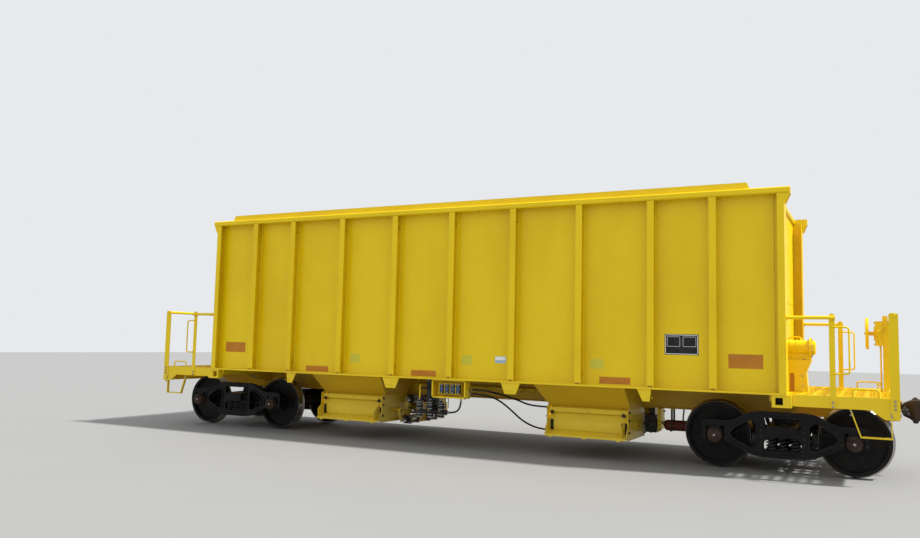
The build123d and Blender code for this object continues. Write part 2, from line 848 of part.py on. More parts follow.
# End platforms: side channels with a deeper web at the outer end, and a stirrup step below
platform_start = bogie_centre + bolster_half
channel_foot = platform_top - channel_depth
gusset_foot = channel_foot - end_sill_drop
end_sill_web = 12
end_sill_flange = 60
gusset_slope = (330, 174)
step_bar = 14
step_width = 50
step_foot = above_rail(580)
step_from = 450
step_to = 90
step_lean = 120
step_lap = 60
step_bend = 10
with BuildPart() as platform_channels:
    for end in ends:
        flange_end = platform_end - end_sill_web
        low, high = sorted((end * platform_start, end * flange_end))
        for side in sides:
            outline = [
                (platform_side_y, platform_top),
                (platform_side_y - channel_flange, platform_top),
                (platform_side_y - channel_flange, platform_top - channel_plate),
                (platform_side_y - channel_plate, platform_top - channel_plate),
                (platform_side_y - channel_plate, channel_foot + channel_plate),
                (platform_side_y - channel_flange, channel_foot + channel_plate),
                (platform_side_y - channel_flange, channel_foot),
                (platform_side_y, channel_foot),
            ]
            run_x([(side * y, z) for y, z in outline], low, high)
            gusset = [
                (platform_end - gusset_slope[0], channel_foot),
                (platform_end - gusset_slope[0], platform_top),
                (platform_end, platform_top),
                (platform_end, gusset_foot),
                (platform_end - gusset_slope[1], gusset_foot),
            ]
            web_pair = sorted((side * (platform_side_y - channel_plate), side * platform_side_y))
            run_y([(end * x, z) for x, z in gusset], *web_pair)
            step = [
                (platform_end - step_from - step_lean, channel_foot + weld_lap),
                (platform_end - step_from, step_foot),
                (platform_end - step_to, step_foot),
                (platform_end - step_to, gusset_foot + step_lap),
                (platform_end - step_to - step_bar, gusset_foot + step_lap),
                (platform_end - step_to - step_bar, step_foot + step_bar),
                (platform_end - step_from + step_bend, step_foot + step_bar),
                (platform_end - step_from - step_lean + step_bar + 2 * weld_lap, channel_foot + weld_lap),
            ]
            step_pair = sorted((side * (platform_side_y - step_width), side * platform_side_y))
            run_y([(end * x, z) for x, z in step], *step_pair)
save(platform_channels, "platform_channels")

# End sills with an opening for the coupler, and bearers under the gratings
bearer_half = 5
bearer_set_in = (990, 540)
bearer_top = platform_top - 40
bearer_foot = platform_top - 90
with BuildPart() as platform_cross_members:
    for end in ends:
        web_pair = (end * (platform_end - end_sill_web), end * platform_end)
        flange_pair = (end * (platform_end - end_sill_flange), end * (platform_end - end_sill_web))
        inside_y = platform_side_y - channel_plate
        flange_y = platform_side_y - channel_flange
        block(web_pair, (-inside_y, inside_y), (gusset_foot, platform_top))
        block(flange_pair, (-flange_y, flange_y), (platform_top - end_sill_web, platform_top))
        block(flange_pair, (-inside_y, inside_y), (gusset_foot, gusset_foot + end_sill_web))
        block(
            (end * (platform_end - end_sill_flange - weld_lap), end * (platform_end + weld_lap)),
            (-sill_half_y - sill_flange, sill_half_y + sill_flange),
            (gusset_foot - weld_lap, centre_sill_top),
            Mode.SUBTRACT,
        )
        for set_in in bearer_set_in:
            x = end * (platform_end - set_in)
            for side in sides:
                block(
                    (x - bearer_half, x + bearer_half),
                    (side * sill_half_y, side * inside_y),
                    (bearer_foot, bearer_top),
                )
save(platform_cross_members, "platform_cross_members")

# Platform gratings: planks with rows of long slots
grating_depth = 30
usual_row = 150
usual_column = 350
grating_half_y = platform_side_y - channel_flange - 5
grating_length = platform_end - end_sill_flange - platform_start
slot_rows = round(grating_length / usual_row)
slot_columns = round(2 * grating_half_y / usual_column)
row_pitch = grating_length / slot_rows
column_pitch = 2 * grating_half_y / slot_columns
slot_wall = 46
with BuildPart() as platform_gratings:
    for end in ends:
        with BuildSketch(Plane.XY.offset(platform_top - grating_depth)) as grate:
            with Locations((end * (platform_start + grating_length / 2), 0)):
                Rectangle(grating_length, 2 * grating_half_y)
                with GridLocations(row_pitch, column_pitch, slot_rows, slot_columns):
                    Rectangle(row_pitch - slot_wall, column_pitch - slot_wall, mode=Mode.SUBTRACT)
        extrude(grate.sketch, amount=grating_depth)
save(platform_gratings, "platform_gratings")


def bent_bar(points, radius, bends):
    # a round bar along straight runs joined by tangent arcs
    with BuildLine() as route:
        FilletPolyline(*points, radius=bends)
    path = route.wires()[0]
    with BuildSketch(Plane(origin=points[0], z_dir=path % 0)) as section:
        Circle(radius)
    sweep(section.sketch, path=path)
    return path.length


# Railings of the platforms: posts, handrails, grab rods and grab irons
outer_post_x = platform_end - outer_post_half
post_rounding = 25
grab_radius = 12
grab_bend = 40
grab_reach = 200
grab_top = rail_top - 140
grab_foot = rail_top - 740
iron_from = 530
iron_to = 230
iron_height = 100
post_rise = 40
post_toe = 85
rail_sink = 10
side_rail_drop = 20
end_rail_rise = 14
with BuildPart() as platform_railings:
    for end in ends:
        for side in sides:
            plate_pair = sorted((side * platform_side_y, side * (platform_side_y + rail_plate)))
            grab_y = side * (platform_side_y + rail_plate / 2)
            block(
                (end * (mid_post_x - mid_post_half), end * (mid_post_x + mid_post_half)),
                plate_pair,
                (channel_foot, rail_top),
            )
            round_y(end * mid_post_x, rail_top, mid_post_half, plate_pair)
            with BuildSketch(Plane.XZ.offset(-plate_pair[0])) as outer_post:
                with BuildLine():
                    Polyline(
                        (end * (outer_post_x - outer_post_half), gusset_foot + post_toe),
                        (end * outer_post_x, gusset_foot),
                        (end * platform_end, gusset_foot),
                        (end * platform_end, rail_top + post_rise),
                        (end * (outer_post_x - outer_post_half), rail_top + post_rise),
                        close=True,
                    )
                make_face()
                fillet(outer_post.vertices().sort_by(Axis.Y)[-2:], post_rounding)
            extrude(outer_post.sketch, amount=-rail_plate)
            rail_y = side * (platform_side_y + rail_plate + rail_radius - rail_sink)
            rail_pair = (end * body_half, end * (mid_post_x + mid_post_half))
            round_x(rail_y, rail_top - side_rail_drop, rail_radius, rail_pair)
            grab_rod = [
                (end * mid_post_x, grab_y, grab_top),
                (end * (mid_post_x + grab_reach), grab_y, grab_top),
                (end * (mid_post_x + grab_reach), grab_y, grab_foot),
                (end * mid_post_x, grab_y, grab_foot),
            ]
            bent_bar(grab_rod, grab_radius, grab_bend)
            iron_y = side * (platform_side_y - channel_flange / 2)
            grab_iron = [
                (end * (platform_end - iron_from), iron_y, platform_top),
                (end * (platform_end - iron_from), iron_y, platform_top + iron_height),
                (end * (platform_end - iron_to), iron_y, platform_top + iron_height),
                (end * (platform_end - iron_to), iron_y, platform_top),
            ]
            bent_bar(grab_iron, grab_radius, grab_bend)
        end_rail_z = rail_top + end_rail_rise
        round_y(end * outer_post_x, end_rail_z, rail_radius, (-platform_side_y, platform_side_y))
save(platform_railings, "platform_railings")

# Ladders of drop rungs at the left of each end
rung_count = 5
rung_pitch = 450
rung_start = platform_top + 420
rung_stand_off = 75
rung_radius = 11
rung_foot = 22
rung_from = 930
rung_to = 1380
with BuildPart() as end_ladders:
    for end in ends:
        out_x = end * (end_sheet_x + rung_stand_off)
        for rung in range(rung_count):
            z = rung_start + rung * rung_pitch
            round_y(out_x, z, rung_radius, (-end * rung_from, -end * rung_to))
            for y in (rung_from, rung_to - rung_foot):
                block(
                    (end * end_sheet_x, out_x + end * rung_radius),
                    (-end * y, -end * (y + rung_foot)),
                    (z - rung_radius, z + rung_radius),
                )
save(end_ladders, "end_ladders")

# Couplers: yoke, shank, and a head that narrows towards the shank
# columns of both tables: X from the knuckle's face; then Y in the plan, and half the height in the profile
head_rounding = 22
head_half_y = 200
head_half_z = 140
neck_half_z = 85
yoke_length = 400
shank_length = 500
head_corners = [
    (-260, -90), (-120, -170), (30, -190), (55, -140), (-60, -100), (-80, 20),
    (-20, 60), (0, 130), (-60, 185), (-190, 165), (-260, 90),
]
head_heights = [(-261, neck_half_z), (-130, head_half_z), (60, head_half_z)]
head_lap = 250
coupler_heads = []
for end in ends:
    with BuildPart() as head:
        with BuildSketch(Plane.XY.offset(coupler_z - head_half_z)) as outline:
            with BuildLine():
                Polyline(*[(end * (coupler_face_x + x), end * y) for x, y in head_corners], close=True)
            make_face()
            fillet(outline.vertices(), head_rounding)
        extrude(outline.sketch, amount=2 * head_half_z)
        profile = [(end * (coupler_face_x + x), coupler_z + z) for x, z in head_heights]
        profile += [(end * (coupler_face_x + x), coupler_z - z) for x, z in reversed(head_heights)]
        run_y(profile, -head_half_y, head_half_y, Mode.INTERSECT)
    coupler_heads.append(head.part)
with BuildPart() as couplers:
    for end, head in zip(ends, coupler_heads):
        shank_end = platform_end - shank_length
        block(
            (end * shank_end, end * (coupler_face_x - head_lap)),
            (-shank_half_y, shank_half_y),
            (coupler_z - shank_half_z, coupler_z + shank_half_z),
        )
        yoke_half = sill_half_y - centre_sill_plate
        block(
            (end * (shank_end - yoke_length), end * shank_end),
            (-yoke_half, yoke_half),
            (coupler_z - yoke_half_z, coupler_z + yoke_half_z),
        )
        add(head)
save(couplers, "couplers")

lever_rod = 14
lever_stand_off = 40
lever_rod_z = above_rail(960)
handle_drop = 170
lever_inner_y = 100
lever_bend_y = 1290
lever_outer_y = 1410
lever_bend = 60
lever_bearers = (500, 1200)
bearer_half_y = 8
bearer_half_z = 26
with BuildPart() as uncoupling_levers:
    for end in ends:
        x = end * (platform_end + lever_stand_off)
        rod_line = [
            (x, end * lever_inner_y, lever_rod_z),
            (x, end * lever_bend_y, lever_rod_z),
            (x, end * lever_outer_y, lever_rod_z - handle_drop),
        ]
        bent_bar(rod_line, lever_rod, lever_bend)
        for y in lever_bearers:
            block(
                (end * platform_end, x + end * lever_rod),
                (end * (y - bearer_half_y), end * (y + bearer_half_y)),
                (lever_rod_z - bearer_half_z, lever_rod_z + bearer_half_z),
            )
save(uncoupling_levers, "uncoupling_levers")

# Hand brake: housing on a stanchion, wheel facing the body, chain rod down to the sill
brake_y = 560
brake_z = above_rail(1940)
brake_post_x = platform_end - 125
brake_post_half_x = 35
brake_post_half_y = 50
brake_post_top = brake_z + 260
housing_depth = 100
housing_half_y = 130
housing_half_z = 180
wheel_shaft_radius = 30
wheel_shaft_reach = 100
wheel_sink = 15
brake_wheel_radius = 235
brake_wheel_rim = 30
brake_wheel_hub = 55
brake_spokes = 5
spoke_width = 30
chain_rod_radius = 12
chain_rod_in = 30
housing_back = brake_post_x - brake_post_half_x
housing_face = housing_back - housing_depth
with BuildPart() as hand_brake:
    block(
        (brake_post_x - brake_post_half_x, brake_post_x + brake_post_half_x),
        (brake_y - brake_post_half_y, brake_y + brake_post_half_y),
        (platform_top, brake_post_top),
    )
    block(
        (housing_face, housing_back),
        (brake_y - housing_half_y, brake_y + housing_half_y),
        (brake_z - housing_half_z, brake_z + housing_half_z),
    )
    wheel_back = housing_face - wheel_shaft_reach
    round_x(brake_y, brake_z, wheel_shaft_radius, (wheel_back, housing_face))
    with BuildSketch(Plane.YZ.offset(wheel_back - wheel_sink)) as brake_wheel:
        with Locations((brake_y, brake_z)):
            Circle(brake_wheel_radius)
            Circle(brake_wheel_radius - brake_wheel_rim, mode=Mode.SUBTRACT)
            Circle(brake_wheel_hub)
            with PolarLocations(brake_wheel_radius / 2, brake_spokes):
                Rectangle(brake_wheel_radius - brake_wheel_hub + 2 * weld_lap, spoke_width)
    extrude(brake_wheel.sketch, amount=2 * wheel_sink)
    chain_rod = (platform_top, brake_z - housing_half_z)
    round_z(housing_back - chain_rod_in, brake_y, chain_rod_radius, chain_rod)
save(hand_brake, "hand_brake")

# Brake cylinder by the hand-brake end, on two waisted side plates with a face plate between them
cylinder_axis_z = above_rail(1708)
brake_cylinder_radius = 102
brake_cylinder_y = -700
brake_cylinder_end = body_half + 296
cover_radius = 135
cover_from = 70
cover_to = 40
pedestal_x = end_sheet_x + 60
pedestal_half_y = 110
pedestal_plate = 14
cradle_foot = above_rail(1522)
cradle_top = above_rail(1630)
# columns: distance beyond the body's end, height of that corner of the side plates
pedestal_edge = [(210, platform_top), (186, above_rail(1363)), (252, cradle_foot)]
with BuildPart() as brake_cylinder:
    cylinder_start = pedestal_x + 30
    round_x(brake_cylinder_y, cylinder_axis_z, brake_cylinder_radius, (cylinder_start, brake_cylinder_end))
    cover = (brake_cylinder_end - cover_from, brake_cylinder_end - cover_to)
    round_x(brake_cylinder_y, cylinder_axis_z, cover_radius, cover)
    edge = [(body_half + x, z) for x, z in pedestal_edge]
    for direction in sides:
        outer_y = brake_cylinder_y + direction * pedestal_half_y
        outline = [(pedestal_x, cradle_foot), (pedestal_x, platform_top), *edge]
        run_y(outline, *sorted((outer_y, outer_y - direction * pedestal_plate)))
    face = edge + [(x - pedestal_plate, z) for x, z in reversed(edge)]
    run_y(face, brake_cylinder_y - pedestal_half_y, brake_cylinder_y + pedestal_half_y)
    block(
        (pedestal_x, edge[-1][0]),
        (brake_cylinder_y - pedestal_half_y, brake_cylinder_y + pedestal_half_y),
        (cradle_foot, cradle_foot + pedestal_plate),
    )
    block(
        (pedestal_x, edge[-1][0]),
        (brake_cylinder_y - pedestal_half_y / 2, brake_cylinder_y + pedestal_half_y / 2),
        (cradle_foot, cradle_top),
    )
save(brake_cylinder, "brake_cylinder")

# Load valve: a dark casting on a plate hanger below the centre sill, beyond the pocket
load_valve_x = (throat_high_x + 45, throat_high_x + 225)
load_valve_y = (-330, -110)
load_valve_z = (above_rail(350), above_rail(610))
hanger_x = (throat_high_x + 95, throat_high_x + 175)
hanger_y = (-215, -185)
with BuildPart() as load_valve:
    block(load_valve_x, load_valve_y, load_valve_z)
    block(hanger_x, hanger_y, (load_valve_z[1] - weld_lap, centre_sill_bottom))
save(load_valve, "load_valve")

# Air main along the underside, held beside the centre sill
pipe_y = -230
pipe_z = above_rail(905)
pipe_radius = 21
pipe_end = pocket_low_x - 20
pipe_clamps = (-900, 0, 900)
clamp_half = 20
clamp_plate = 16
with BuildPart() as air_main:
    round_x(pipe_y, pipe_z, pipe_radius, (-pipe_end, pipe_end))
    clamp_z = (pipe_z - clamp_plate / 2, pipe_z + clamp_plate / 2)
    for x in pipe_clamps:
        block((x - clamp_half, x + clamp_half), (pipe_y, -sill_half_y), clamp_z)
save(air_main, "air_main")

# Gate control cabinet under the camera side sill: an open-fronted box round its valve unit
cabinet_half = 300
cabinet_front_y = -1600
cabinet_back_y = -1420
cabinet_foot = above_rail(790)
cabinet_top = sill_ledge - sill_plate
unit_x = (-190, 200)
unit_y = (cabinet_front_y + 40, cabinet_back_y)
unit_z = (above_rail(850), above_rail(1020))
with BuildPart() as control_cabinet:
    outline = [
        (-cabinet_half, cabinet_foot),
        (-cabinet_half, cabinet_top),
        (cabinet_half, cabinet_top),
        (cabinet_half, cabinet_foot),
    ]
    run_y(outline, cabinet_front_y, cabinet_back_y)
    inside = cabinet_half - sheet
    block(
        (-inside, inside),
        (cabinet_front_y, cabinet_back_y - sheet),
        (cabinet_foot + sheet, cabinet_top - sheet),
        Mode.SUBTRACT,
    )
    block(unit_x, unit_y, unit_z)
save(control_cabinet, "control_cabinet")

# Covered box under the other side sill
covered_x = (90, 590)
covered_y = (1380, 1560)
covered_foot = above_rail(860)
with BuildPart() as covered_box:
    block(covered_x, covered_y, (covered_foot, cabinet_top))
save(covered_box, "covered_box")

# Air valves: three bodies on a manifold, on a bracket that hangs from the sill
manifold_y = -1410
manifold_z = 574
manifold_start = -710
manifold_end = -110
manifold_radius = 30
union_radius = 44
union_x = (manifold_end - 30, manifold_end - 10)
valve_places = (-620, -420, -220)
valve_radius = 55
valve_foot_z = manifold_z - 80
valve_top_z = manifold_z + 140
stem_radius = 22
stem_top_z = manifold_z + 185
bracket_x = (-530, -310)
bracket_y = -1335
bracket_plate = 10
bracket_foot_z = manifold_z - 20
stay_half_x = 8
stay_half_z = 16
with BuildPart() as air_valves:
    round_x(manifold_y, manifold_z, manifold_radius, (manifold_start, manifold_end))
    round_x(manifold_y, manifold_z, union_radius, union_x)
    for x in valve_places:
        round_z(x, manifold_y, valve_radius, (valve_foot_z, valve_top_z))
        round_z(x, manifold_y, stem_radius, (valve_top_z, stem_top_z))
    hanger = (bracket_y - bracket_plate / 2, bracket_y + bracket_plate / 2)
    block(bracket_x, hanger, (bracket_foot_z, cabinet_top))
    block(bracket_x, (bracket_y, -side_sheet_y), (cabinet_top - bracket_plate, cabinet_top))
    for x in (bracket_x[0] + bracket_plate, bracket_x[1] - bracket_plate):
        stay_z = (manifold_z - stay_half_z, manifold_z + stay_half_z)
        block((x - stay_half_x, x + stay_half_x), (manifold_y, bracket_y), stay_z)
save(air_valves, "air_valves")

bend_share = 0.45


def hose(name, points):
    runs = [Vector(*after) - Vector(*before) for before, after in zip(points, points[1:])]
    bends = []
    for before, after in zip(runs, runs[1:]):
        half_turn = math.radians(before.get_angle(after)) / 2
        bends.append(bend_share * min(before.length, after.length) / math.tan(half_turn))
    with BuildPart() as cord:
        length = bent_bar(points, hose_radius, bends)
    save(cord, name)
    fill = cord.part.volume / (math.pi * hose_radius**2 * length)
    print(name, "radii", [round(bend) for bend in bends], "length", round(length), "fill", round(fill, 4))


# Hoses from the cabinet to the gate cylinders, and the supply hose from the valves
port_x = lever_x - head_size / 2 - port_reach
port_back = head_length / 2
port_run = 198
outer_port = (port_x, -(gate_middle_y + shaft_offset - face_set_back - port_back), cylinder_low_z)
inner_port = (port_x, -(gate_middle_y - shaft_offset - face_set_back - port_back), cylinder_high_z)
hose(
    "hose_b_outer",
    [
        (cabinet_half, -1500, 900),
        (530, -1500, 900),
        (700, -1270, 830),
        (820, -980, 640),
        (900, -700, 450),
        (outer_port[0] - port_run, outer_port[1], outer_port[2]),
        outer_port,
    ],
)
inner_route = [
    (cabinet_half, -1450, 960),
    (540, -1450, 960),
    (740, -1240, 900),
    (880, -930, 810),
    (950, -600, 710),
    (inner_port[0] - port_run, inner_port[1], inner_port[2]),
    inner_port,
]
hose("hose_b_inner", inner_route)
hose("hose_a_inner", [(-x, y, z) for x, y, z in inner_route])
hose(
    "hose_supply",
    [
        (150, -1440, cabinet_foot),
        (150, -1440, 680),
        (40, manifold_y, manifold_z),
        (manifold_end, manifold_y, manifold_z),
    ],
)


def rounded_face(points, radius):
    with BuildSketch() as face:
        with BuildLine():
            Polyline(*points, close=True)
        make_face()
        fillet(face.vertices(), radius)
    return face.sketch


# Bogie side frame: cast outline with windows, its faces sunk inside a rim
jaw_roof = above_rail(590)
frame_rounding = 18
window_rounding = 22
axle_x = wheelbase / 2
jaw_half = 123
# columns: X from the bogie's middle, height above the rail, of the corners from the top round to the foot
half_frame = [
    (0, 815), (300, 815), (420, 795), (axle_x - 249, 690), (axle_x - 189, 665), (axle_x + 131, 665),
    (axle_x + 179, 625), (axle_x + 179, 385), (axle_x + jaw_half, 385), (axle_x + jaw_half, 590),
    (axle_x - jaw_half, 590), (axle_x - jaw_half, 385), (axle_x - 199, 355), (400, 215), (260, 190), (0, 190),
]
side_window = [
    (345, 640), (420, 690), (axle_x - 249, 560), (axle_x - 199, 490), (axle_x - 249, 430), (420, 320),
    (345, 330),
]
bolster_window = [(-245, 300), (-245, 730), (245, 730), (245, 300)]
outline = [(x, above_rail(z)) for x, z in half_frame[1:-1]]
outline += [(-x, above_rail(z)) for x, z in reversed(half_frame[1:-1])]
frame_face = rounded_face(outline, frame_rounding)
for direction in (-1, 1):
    frame_face -= rounded_face([(direction * x, above_rail(z)) for x, z in side_window], window_rounding)
frame_face -= rounded_face([(x, above_rail(z)) for x, z in bolster_window], window_rounding)
recess_face = offset(frame_face, amount=-frame_rim)
frame_half = side_frame_width / 2
frame_solid = extrude(Plane.XZ.offset(-frame_half) * frame_face, amount=side_frame_width)
frame_solid -= extrude(Plane.XZ.offset(-frame_half) * recess_face, amount=frame_recess)
frame_solid -= extrude(Plane.XZ.offset(frame_half) * recess_face, amount=-frame_recess)
adapter_foot = above_rail(562)
adapter_half = 70

# Bogies: side frames, bolster, springs and wheelsets
bolster_half_x = 200
# columns: distance from the wagon's middle line, height above the rail, of the bolster's top and of its foot
bolster_tops = [(1120, 480), (1120, 620), (300, 645)]
bolster_feet = [(880, 480), (500, 400)]
centre_bowl = (above_rail(600), above_rail(680))
bowl_rim = 34
bowl_play = 12
spring_z = (above_rail(300), above_rail(480))
bearing_radius = 100
bearing_half = 80
wheel_face = wheel_inner_face
rim_radius = tread_radius - rim_depth
flange_radius = tread_radius + flange_height
hub_half = hub_depth / 2
plate_out = 50
hub_past_rim = 10
cap_chamfer = 10
cap_face_radius = 60
# columns: radius, distance from the wagon's middle line, round the wheel's and the bearing's section
wheel = [
    (0, wheel_face - hub_half),
    (hub_radius, wheel_face - hub_half),
    (hub_radius, wheel_face + hub_half),
    (rim_radius, wheel_face + plate_out),
    (rim_radius, wheel_face),
    (flange_radius - 8, wheel_face),
    (flange_radius, wheel_face + 10),
    (tread_radius + 2, wheel_face + 35),
    (tread_radius - 5, wheel_face + wheel_width),
    (rim_radius, wheel_face + wheel_width),
    (rim_radius, wheel_face + plate_out + wheel_plate),
    (hub_radius, wheel_face + hub_half + wheel_plate),
    (hub_radius, wheel_face + wheel_width + hub_past_rim),
    (journal_radius, wheel_face + wheel_width + hub_past_rim),
    (journal_radius, journal_y - bearing_half),
    (bearing_radius, journal_y - bearing_half),
    (bearing_radius, journal_y + bearing_half),
    (cap_radius, journal_y + bearing_half),
    (cap_radius, cap_end_y - cap_chamfer),
    (cap_face_radius, cap_end_y),
    (0, cap_end_y),
]
for name, end in (("a", -1), ("b", 1)):
    centre_x = end * bogie_centre
    with BuildPart() as side_frames:
        for side in sides:
            add(Pos(centre_x, side * journal_y, 0) * frame_solid)
            for direction in (-1, 1):
                x = centre_x + direction * axle_x
                y_pair = (side * journal_y - frame_half, side * journal_y + frame_half)
                block((x - adapter_half, x + adapter_half), y_pair, (adapter_foot, jaw_roof))
    save(side_frames, f"bogie_{name}_side_frames")

    with BuildPart() as bolster:
        outline = [(-y, z) for y, z in bolster_tops] + [(y, z) for y, z in reversed(bolster_tops)]
        outline += bolster_feet + [(-y, z) for y, z in reversed(bolster_feet)]
        outline = [(y, above_rail(z)) for y, z in outline]
        run_x(outline, centre_x - bolster_half_x, centre_x + bolster_half_x)
        round_z(centre_x, 0, centre_plate_radius + bowl_rim, centre_bowl)
        bowl = (centre_plate_z, centre_bowl[1] + bowl_play)
        round_z(centre_x, 0, centre_plate_radius + bowl_play, bowl, Mode.SUBTRACT)
    save(bolster, f"bogie_{name}_bolster")

    with BuildPart() as springs:
        for side in sides:
            for place in (-1, 0, 1):
                x = centre_x + place * spring_pitch
                round_z(x, side * journal_y, spring_radius, spring_z)
    save(springs, f"bogie_{name}_springs")

    for number, direction in ((1, -1), (2, 1)):
        with BuildPart() as wheelset:
            for side in sides:
                with BuildSketch(Plane.YZ) as profile:
                    with BuildLine():
                        Polyline(*[(side * y, radius) for radius, y in wheel], close=True)
                    make_face()
                revolve(profile.sketch, axis=Axis.Y)
            inside = wheel_face - hub_half
            round_y(0, 0, axle_radius, (-inside, inside))
        placed = Pos(centre_x + direction * axle_x, 0, above_rail(tread_radius)) * wheelset.part
        placed.label = f"wheelset_{name}{number}"
        export_step(placed, f"parts/wheelset_{name}{number}.step")
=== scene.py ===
import math
import random

import bmesh
import bpy
from mathutils import Matrix, Vector


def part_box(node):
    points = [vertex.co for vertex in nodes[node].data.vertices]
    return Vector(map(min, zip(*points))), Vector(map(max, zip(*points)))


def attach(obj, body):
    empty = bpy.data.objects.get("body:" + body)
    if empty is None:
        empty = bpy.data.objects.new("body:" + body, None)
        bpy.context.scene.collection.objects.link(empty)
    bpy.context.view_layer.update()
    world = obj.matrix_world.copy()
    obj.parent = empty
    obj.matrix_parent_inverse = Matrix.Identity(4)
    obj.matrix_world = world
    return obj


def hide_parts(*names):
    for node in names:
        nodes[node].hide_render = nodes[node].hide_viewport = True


# Ballast hopper wagon on two bogies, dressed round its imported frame. Metres, z = 0 at the flanges' foot.

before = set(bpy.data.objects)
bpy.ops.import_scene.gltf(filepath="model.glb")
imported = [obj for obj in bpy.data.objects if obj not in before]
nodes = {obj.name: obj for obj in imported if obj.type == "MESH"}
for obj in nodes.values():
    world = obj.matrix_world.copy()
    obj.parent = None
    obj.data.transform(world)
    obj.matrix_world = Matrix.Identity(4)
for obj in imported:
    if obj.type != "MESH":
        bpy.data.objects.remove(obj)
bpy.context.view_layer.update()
chance = random.Random(7)
ends = (-1, 1)
sides = (-1, 1)
print("stage: frame loaded", len(nodes), "nodes")

# places that several pieces share
bogieX = 4.872  # a bogie's centre
halfBase = 0.889  # from there to an axle
axleZ = 0.483
journalY = 1.003
boxX = 2.134  # a discharge box's middle
boxHalf = 0.625
boxPlate = 0.010
sheetY = 1.480  # outer face of the side sheets
ledgeZ = 1.128  # top of the side sill
deckZ = 1.116  # top of the platform's planks
sillFoot = 0.747  # underside of the centre sill
shaftZ = 0.496  # the gates' shafts
gateY = 0.680  # middle of a pocket's two shafts
shaftOffset = 0.060  # from there to each shaft


def placeObject(name, data):
    made = bpy.data.objects.new(name, data)
    bpy.context.collection.objects.link(made)
    return made


# Camera at the photograph's place and angle

cameraSettings = {
    "place": (6.013, -13.064, 1.698),
    "yaw": 27.043,
    "pitch": 5.169,
    "roll": 1.278,
    "lens": 31.75,
}


def makeCamera(settings):
    yaw, pitch, roll = (math.radians(settings[k]) for k in ("yaw", "pitch", "roll"))
    forward = Vector((-math.sin(yaw) * math.cos(pitch), math.cos(yaw) * math.cos(pitch), math.sin(pitch)))
    level = Vector((math.cos(yaw), math.sin(yaw), 0))
    upright = level.cross(forward)
    right = level * math.cos(roll) + upright * math.sin(roll)
    up = upright * math.cos(roll) - level * math.sin(roll)
    turn = Matrix((right, up, -forward)).transposed()
    data = bpy.data.cameras.new("camera")
    data.lens = settings["lens"]
    data.sensor_width = 36
    data.clip_end = 200
    camera = placeObject("camera", data)
    camera.matrix_world = Matrix.Translation(settings["place"]) @ turn.to_4x4()
    bpy.context.scene.camera = camera


makeCamera(cameraSettings)


# Gate hoses: each runs from the cabinet or the valves to its port, on the part's own route

hoseDiameter = 0.028
portX = 1.288  # the ports that face the middle of the wagon
outerPort = (portX, -0.4767, 0.319)
innerPort = (portX, -0.3567, 0.673)
innerRun = [(0.3, -1.45, 0.96), (0.54, -1.45, 0.96), (0.74, -1.24, 0.90), (0.88, -0.93, 0.81),
            (0.95, -0.60, 0.71), (1.09, -0.3567, 0.673), innerPort]
hoseRoutes = {
    "hose_b_outer": {"length": 1.721, "points": [
        (0.3, -1.5, 0.9), (0.53, -1.5, 0.9), (0.7, -1.27, 0.83), (0.82, -0.98, 0.64), (0.9, -0.7, 0.45),
        (1.09, -0.4767, 0.319), outerPort]},
    "hose_b_inner": {"length": 1.685, "points": innerRun},
    "hose_a_inner": {"length": 1.685, "points": [(-x, y, z) for x, y, z in innerRun]},
    "hose_supply": {"length": 0.428, "points": [
        (0.15, -1.44, 0.816), (0.15, -1.44, 0.68), (0.04, -1.41, 0.574), (-0.11, -1.41, 0.574)]},
}


def makeCurve(name, points, radius, roundness, steps):
    # a round line that runs smoothly through its bends
    curve = bpy.data.curves.new(name, "CURVE")
    curve.dimensions = "3D"
    curve.bevel_depth = radius
    curve.bevel_resolution = roundness
    curve.resolution_u = steps
    curve.use_fill_caps = True
    spline = curve.splines.new("NURBS")
    spline.points.add(len(points) - 1)
    for point, place in zip(spline.points, points):
        point.co = (*place, 1)
    spline.order_u = 3
    spline.use_endpoint_u = True
    return placeObject(name, curve)


def makeHose(name, route):
    hose = makeCurve(name + "_line", route["points"], hoseDiameter / 2, 4, 16)
    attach(hose, "root")
    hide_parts(name)
    return hose


hoses = [makeHose(name, route) for name, route in hoseRoutes.items()]
print("stage: hoses", len(hoses))


# Material helpers

def newMaterial(name):
    material = bpy.data.materials.new(name)
    material.use_nodes = True
    tree = material.node_tree
    return material, tree, tree.nodes["Principled BSDF"]


def noiseAt(tree, scale, detail=4, roughness=0.6, stretch=(1, 1, 1)):
    # noise in the frame's own metres, so that it runs on from piece to piece
    mapping = tree.nodes.new("ShaderNodeMapping")
    mapping.inputs["Scale"].default_value = stretch
    noise = tree.nodes.new("ShaderNodeTexNoise")
    noise.inputs["Scale"].default_value = scale
    noise.inputs["Detail"].default_value = detail
    noise.inputs["Roughness"].default_value = roughness
    coordinates = tree.nodes.new("ShaderNodeTexCoord")
    tree.links.new(coordinates.outputs["Object"], mapping.inputs["Vector"])
    tree.links.new(mapping.outputs["Vector"], noise.inputs["Vector"])
    return noise.outputs["Fac"]


def placeAxes(tree):
    coordinates = tree.nodes.new("ShaderNodeTexCoord")
    split = tree.nodes.new("ShaderNodeSeparateXYZ")
    tree.links.new(coordinates.outputs["Object"], split.inputs["Vector"])
    return split.outputs["X"], split.outputs["Y"], split.outputs["Z"]


def ramp(tree, value, *stops):
    node = tree.nodes.new("ShaderNodeValToRGB")
    elements = node.color_ramp.elements
    while len(elements) < len(stops):
        elements.new(0.5)
    for element, (position, colour) in zip(elements, stops):
        element.position = position
        element.color = (*colour, 1) if len(colour) == 3 else (colour[0],) * 3 + (1,)
    tree.links.new(value, node.inputs["Fac"])
    return node.outputs["Color"]


